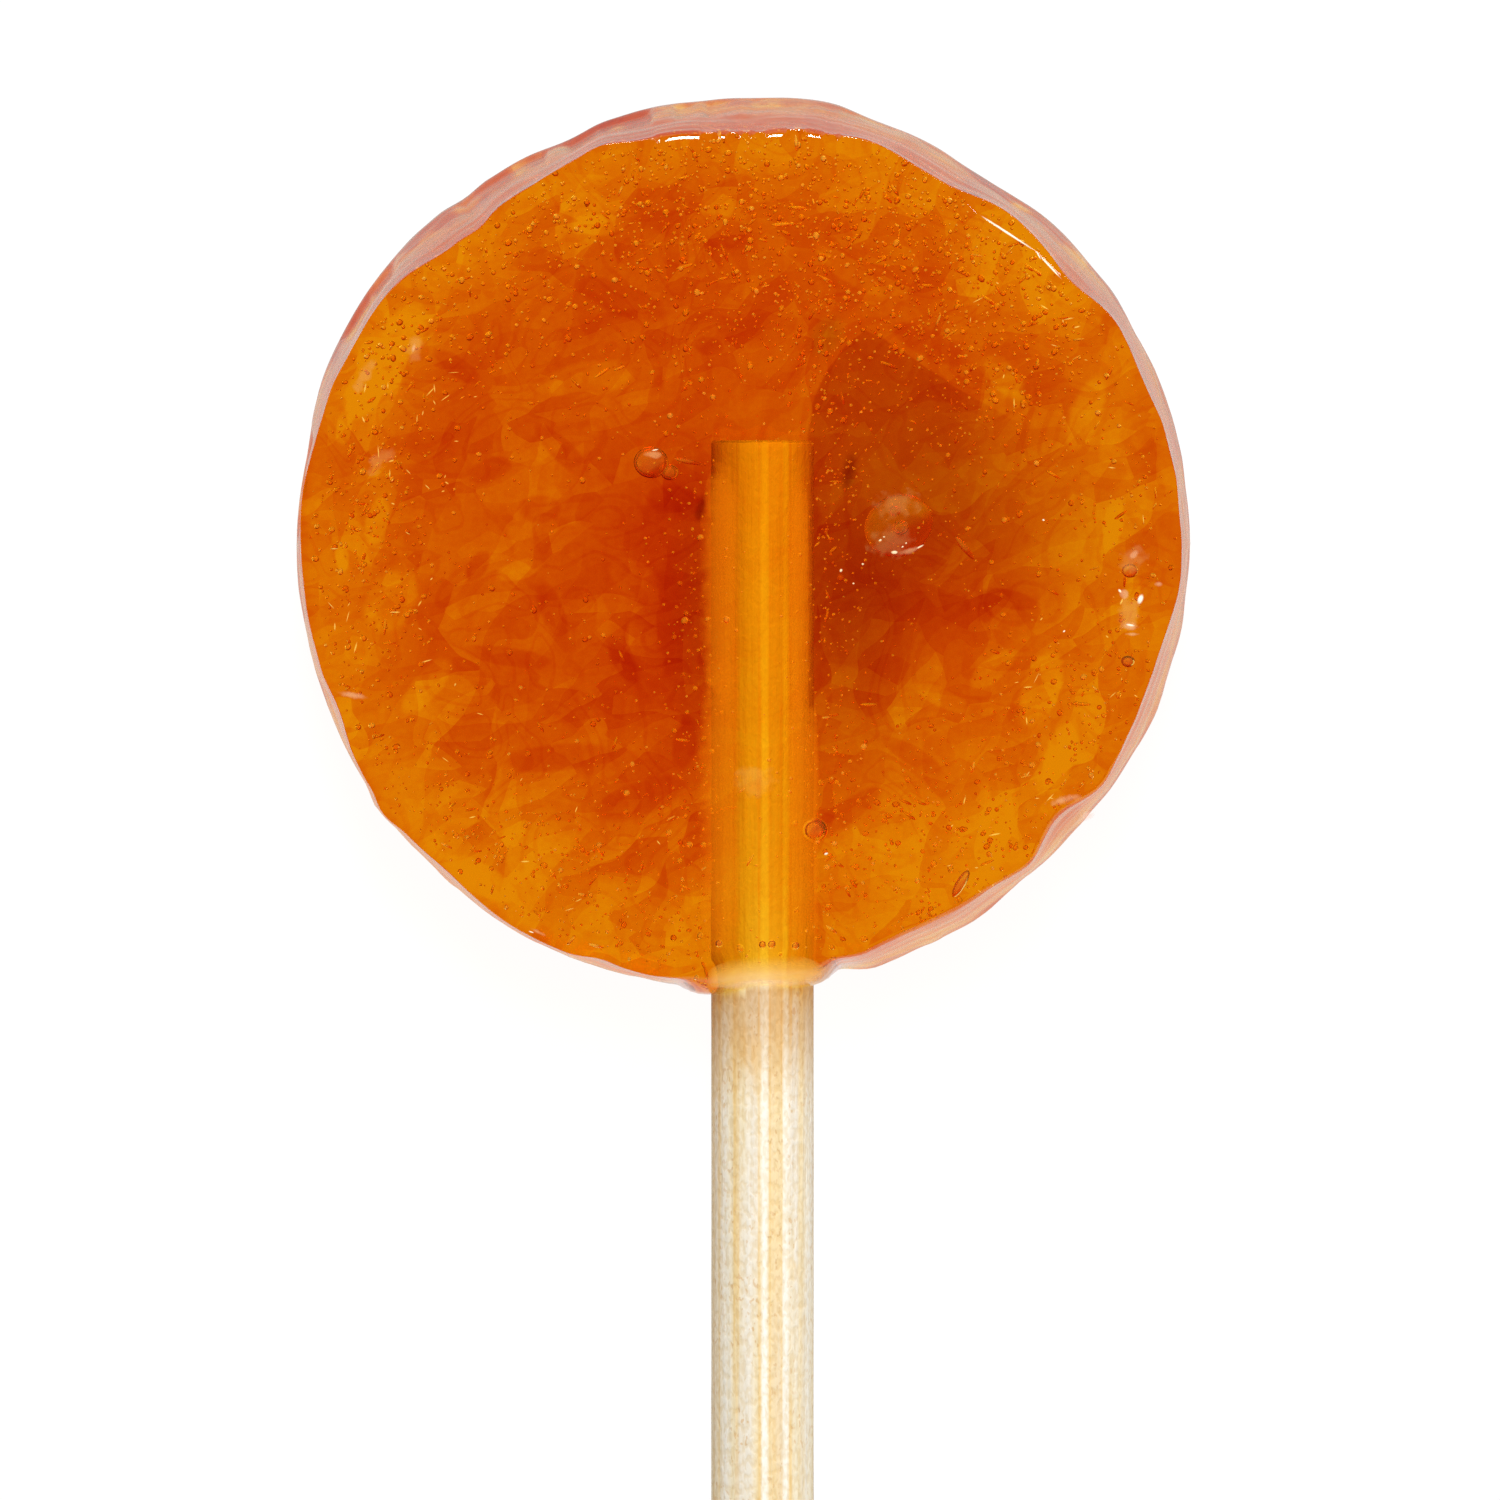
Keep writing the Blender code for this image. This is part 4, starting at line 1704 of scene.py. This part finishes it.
    def build(self) -> list[bpy.types.Object]:
        """Make each kind and dress it.

        Returns:
            The pieces.
        """
        kinds = (
            (self.joined("large_bubbles", self.large), SunkAir("large bubble", 0.92)),
            (self.joined("milky_blisters", self.blisters), MilkyAir()),
            # Painted glints as white matt flecks.
            (self.joined("painted_glints", self.specks),
             MilkyAir("painted glints", (1.0, 0.97, 0.93), 1.0, 0.6)),
            (self.joined("faint_hazes", self.hazes),
             MilkyAir("faint haze", (0.95, 0.69, 0.36), 0.06, 2.2)),
            (self.joined("haze_in_lip", self.lip_haze, 8.0),
             MilkyAir("haze in the lip", (0.86, 0.62, 0.47), 0.42, 0.3)),
            (self.joined("golden_wisps", self.wisps()),
             MilkyAir("golden wisps", (1.0, 0.74, 0.20), 0.42, 0.8)),
            (self.joined("froth_by_stick", self.froth, 6.0),
             MilkyAir("golden froth", (0.80, 0.35, 0.05), 0.36, 0.7)))
        return [dress_sunk(piece, skin.make()) for piece, skin in kinds]


@dataclass(frozen=True)
class BubbleKind:
    """One kind of bubble, all joined in one piece.

    Attributes:
        name: The piece's name.
        count: How many.
        small: The smallest bubble's diameter in millimetres.
        large: The largest one's.
        power: How much small ones outnumber large ones.
        stretch: Greatest length over width.
        columns: Sides of each bubble.
        rings: Circles on each bubble.
    """

    name: str
    count: int
    small: float
    large: float
    power: float
    stretch: float
    columns: int
    rings: int


@dataclass
class Bubbles:
    """The air shut in the sugar: thousands of fine bubbles, some drawn long.

    Attributes:
        sweet: The sweet that they lie in.
        kinds: The kinds of bubble.
        first_seed: The first kind's random seed. Each kind after it has the next one.
        thick_spots: Where the sugar is thick with bubbles.
        fine_spots: Where only the finest ones lie.
        finest: The largest diameter that counts as finest.
        everywhere: How thick with bubbles the rest is.
        thickest: The thickness at which every drawn place is kept.
        margin: The least distance from the wall.
        cover: The least distance from the front.
        deepest: The greatest distance from the front.
        tries: Places drawn for each bubble, of which the first that fit are kept.
    """

    sweet: Sweet
    kinds: tuple[BubbleKind, ...] = (
        BubbleKind("fine_bubbles", 1700, 0.13, 0.17, 1.1, 1.15, 8, 5),
        BubbleKind("small_bubbles", 1150, 0.16, 0.34, 1.8, 1.3, 10, 7),
        BubbleKind("drawn_bubbles", 420, 0.07, 0.20, 1.5, 6.0, 7, 7),
        BubbleKind("finer_bubbles", 1500, 0.10, 0.13, 1.1, 1.15, 8, 5),
        BubbleKind("finest_bubbles", 2400, 0.07, 0.10, 1.2, 1.15, 6, 3),
    )
    first_seed: int = 100
    thick_spots: tuple[Spot, ...] = listed(
        Spot,
        (0, 17, 15, 5, 0), (5, 12, 9, 5, -20, 0.8), (-18, 2, 9, 2.6, 90, 1.1),
        (-12, 13, 7, 5, 40, 0.5), (13, 11, 7, 5, -45, 0.7), (4.2, -2, 12, 1.4, 90),
        (-2.4, -5, 12, 1.4, 90, 0.7), (10, -14, 9, 5, 25, 0.6), (16, -6, 8, 4, 70, 0.45),
        (-9, -16, 9, 3, -25, 0.6), (7.5, 3, 5, 4, 0, 0.5), (-7, -13, 7, 6, 0, 0.3),
    )
    fine_spots: tuple[Spot, ...] = listed(
        Spot,
        (7.5, 3, 6, 6.5, 0), (6, -6, 4.5, 4.5, 0, 0.9), (-8, -2, 8, 8, 0, 0.6),
    )
    finest: float = 0.16 * MM
    everywhere: float = 0.16
    thickest: float = 1.4
    margin: float = 0.5 * MM
    cover: float = 0.7 * MM
    deepest: float = 4.5 * MM
    tries: int = 30

    def places(self, count: int, draw: np.random.Generator, reach: np.ndarray) -> np.ndarray:
        """Draw bubble places, more where the sugar is thick with them.

        Args:
            count: How many places.
            draw: The random generator.
            reach: Half-lengths of the bubbles, which set how close they lie to a surface.

        Returns:
            Places of shape (n, 3).
        """
        tries = self.tries * count
        x, y = draw.uniform(-self.sweet.radius, self.sweet.radius, (2, tries))
        z = self.sweet.thickness - draw.uniform(0.0, self.deepest, tries)
        size = np.resize(reach, tries)
        edge = self.sweet.edge(np.degrees(np.arctan2(y, x)) % 360.0, z)
        inside = np.hypot(x, y) < edge - self.margin - size
        level = (z > size + 0.15 * MM) & (z < self.sweet.thickness - size - self.cover)
        from_stick = np.hypot(x - self.sweet.stick_x, z - self.sweet.thickness / 2.0)
        beside = from_stick > self.sweet.stick_radius + size + 0.03 * MM
        free = beside | (y > self.sweet.stick_tip + size + 0.05 * MM)
        fine_only = np.clip(sum_at(self.fine_spots, x, y), 0.0, 0.95)
        thick = ((self.everywhere + sum_at(self.thick_spots, x, y))
                 * (1.0 - fine_only * (size > self.finest / 2.0)))
        likely = draw.uniform(0.0, self.thickest, tries) < thick
        kept = np.flatnonzero(inside & level & free & likely)[:count]
        return np.stack([x, y, z], axis=-1)[kept]

    def turned_balls(self, kind: BubbleKind, seed: int) -> bpy.types.Object:
        """Join one kind's bubbles: a unit ball stretched, turned and moved for each.

        Args:
            kind: The kind to make.
            seed: Its random seed.

        Returns:
            The piece.
        """
        draw = np.random.default_rng(seed)
        share = draw.uniform(0.0, 1.0, kind.count) ** kind.power
        width = (kind.small + (kind.large - kind.small) * share) * MM / 2.0
        long = 1.0 + (kind.stretch - 1.0) * draw.uniform(0.0, 1.0, kind.count) ** 1.5
        places = self.places(kind.count, draw, width * np.minimum(long, 3.0))
        count = len(places)
        width, long = width[:count], long[:count]
        heading = draw.uniform(0.0, np.pi, count)
        lean = draw.normal(0.0, 0.25, count)
        along = np.stack([np.cos(heading) * np.cos(lean), np.sin(heading) * np.cos(lean),
                          np.sin(lean)], axis=-1)
        side = np.stack([-np.sin(heading), np.cos(heading), np.zeros(count)], axis=-1)
        up = np.cross(along, side)
        frames = np.stack([along * (width * long)[:, None], side * width[:, None],
                           up * width[:, None]], axis=-1)
        return joined_balls(kind.name, places, frames, kind.columns, kind.rings)

    def build(self) -> list[bpy.types.Object]:
        """Make every kind of bubble and dress it.

        Returns:
            The pieces.
        """
        skin = SunkAir().make()
        return [dress_sunk(self.turned_balls(kind, self.first_seed + number), skin)
                for number, kind in enumerate(self.kinds)]


# ---------------------------------------------------------------- the studio


@dataclass(frozen=True)
class Lamp:
    """A soft lamp that faces the sweet.

    Attributes:
        name: The lamp's name.
        azimuth: Its direction, in degrees from +X.
        from_zenith: Its angle from straight up, in degrees.
        width: Its width in metres.
        length: Its length in metres, up and down its arc.
        radiance: How bright its face is, where the floor's glow is about 1.
    """

    name: str
    azimuth: float
    from_zenith: float
    width: float
    length: float
    radiance: float


@dataclass
class Studio:
    """The pale floor, the soft lamps and the camera that looks down on the sweet.

    The camera stands where the photograph was taken from, tipped a little
    towards the sweet's top, and far off, so that the view is nearly parallel.
    """

    pixel: float = 0.04854 * MM
    frame_pixels: int = 1500
    sweet_pixel: tuple[float, float] = (744.0, 543.0)
    tilt: float = math.radians(4.0)
    lens: float = 1500.0
    floor_rings: tuple[float, ...] = (0.15, 0.6, 1.8, 3.0)
    floor_sides: int = 48
    floor_drop: float = 0.05 * MM
    lamp_away: float = 0.6
    lamps: tuple[Lamp, ...] = (Lamp("top strip", 90.0, 36.0, 0.14, 0.30, 37.0),
                               Lamp("small window", 57.0, 23.0, 0.20, 0.10, 8.0))
    sky_glow: float = 0.95
    side_glow: float = 0.1
    overhead_glow: float = 0.012

    def add_floor(self) -> None:
        """A wide flat disc just under the sweet: rings round a middle point."""
        sides, reach = self.floor_sides, np.array(self.floor_rings)[:, None]
        turn = np.linspace(0.0, FULL_TURN, sides, endpoint=False)[None, :]
        points = np.stack([reach * np.cos(turn), reach * np.sin(turn),
                           0.0 * reach * turn - self.floor_drop], axis=-1).reshape(-1, 3)
        quads, _, _ = ring_quads(len(reach), sides)
        side = np.arange(sides)
        spokes = np.stack([np.full(sides, len(points)), side, (side + 1) % sides], axis=-1)
        middle = np.array([[0.0, 0.0, -self.floor_drop]])
        floor = make_piece("floor", np.concatenate([points, middle]), quads, spokes)
        floor.data.materials.append(GlowingWhite().make())

    def add_lamp(self, lamp: Lamp) -> None:
        """Hang a lamp on its arc, unseen by the camera and through the sugar.

        Args:
            lamp: The lamp.
        """
        light = bpy.data.lights.new(lamp.name, "AREA")
        light.shape = "RECTANGLE"
        light.size, light.size_y = lamp.width, lamp.length
        light.energy = lamp.radiance * math.pi * lamp.width * lamp.length
        hung = bpy.data.objects.new(lamp.name, light)
        hung.visible_camera = False
        hung.visible_transmission = False
        turn, lean = math.radians(lamp.azimuth), math.radians(lamp.from_zenith)
        hung.location = (self.lamp_away * math.sin(lean) * math.cos(turn),
                         self.lamp_away * math.sin(lean) * math.sin(turn),
                         self.lamp_away * math.cos(lean))
        hung.rotation_euler = (lean, 0.0, turn + math.pi / 2.0)
        bpy.context.scene.collection.objects.link(hung)

    def add_sky(self) -> None:
        """A studio that is white low down and dark overhead, behind the camera."""
        world = bpy.data.worlds.new("studio")
        world.use_nodes = True
        world.node_tree.nodes.clear()
        g = Graph(world.node_tree)
        way = g.add("ShaderNodeSeparateXYZ", {0: g.add("ShaderNodeTexCoord").outputs["Generated"]})
        low = g.spread(way.outputs["Z"], 0.10, 0.45, 1.0, 0.0)
        through = g.add("ShaderNodeLightPath").outputs["Is Transmission Ray"]
        level = g.minus(self.sky_glow, g.times(through, self.sky_glow - self.side_glow))
        shade = g.plus(g.times(low, level), self.overhead_glow)
        grey = g.add("ShaderNodeCombineColor", {0: shade, 1: shade, 2: shade})
        sky = g.add("ShaderNodeBackground", {"Color": grey, "Strength": 1.0})
        g.add("ShaderNodeOutputWorld", {"Surface": sky})
        bpy.context.scene.world = world

    def add_camera(self) -> None:
        """Aim the camera so that the sweet falls on its place in the photograph's frame."""
        half = self.frame_pixels / 2.0
        aim = np.array([(half - self.sweet_pixel[0]) * self.pixel,
                        (self.sweet_pixel[1] - half) * self.pixel, 1.0 * MM])
        data = bpy.data.cameras.new("camera")
        data.sensor_width = 36.0
        data.lens = self.lens
        away = self.frame_pixels * self.pixel * self.lens / data.sensor_width
        data.clip_start, data.clip_end = 0.1, 100.0
        camera = bpy.data.objects.new("camera", data)
        camera.location = aim + away * np.array([0.0, math.sin(self.tilt), math.cos(self.tilt)])
        camera.rotation_euler = (-self.tilt, 0.0, 0.0)
        bpy.context.scene.collection.objects.link(camera)
        bpy.context.scene.camera = camera

    def set_light_paths(self) -> None:
        """Let rays through many skins of sugar and air, and keep colours as they are."""
        scene = bpy.context.scene
        scene.view_settings.view_transform = "Standard"
        cycles = scene.cycles
        cycles.max_bounces = 32
        cycles.transmission_bounces = 32
        cycles.transparent_max_bounces = 32
        cycles.glossy_bounces = 12
        cycles.diffuse_bounces = 3
        cycles.caustics_reflective = False
        cycles.caustics_refractive = False
        cycles.blur_glossy = 0.0
        cycles.sample_clamp_indirect = 3.0

    def build(self) -> None:
        """Set up the floor, the lamps, the camera and the render's light paths."""
        self.add_floor()
        for lamp in self.lamps:
            self.add_lamp(lamp)
        self.add_sky()
        self.add_camera()
        self.set_light_paths()


# ---------------------------------------------------------------- all together


def main() -> None:
    """Build the studio, the stick, the sweet and its bubbles, and report each."""
    logging.basicConfig(level=logging.INFO, format="%(name)s: %(message)s")
    Studio().build()
    sweet = Sweet()
    pieces = [Stick().build(), sweet.build(), *Bubbles(sweet).build(), *Pockets(sweet).build()]
    for piece in pieces:
        LOG.info("%s: %d faces", piece.name, len(piece.data.polygons))


if __name__ == "__main__":
    main()
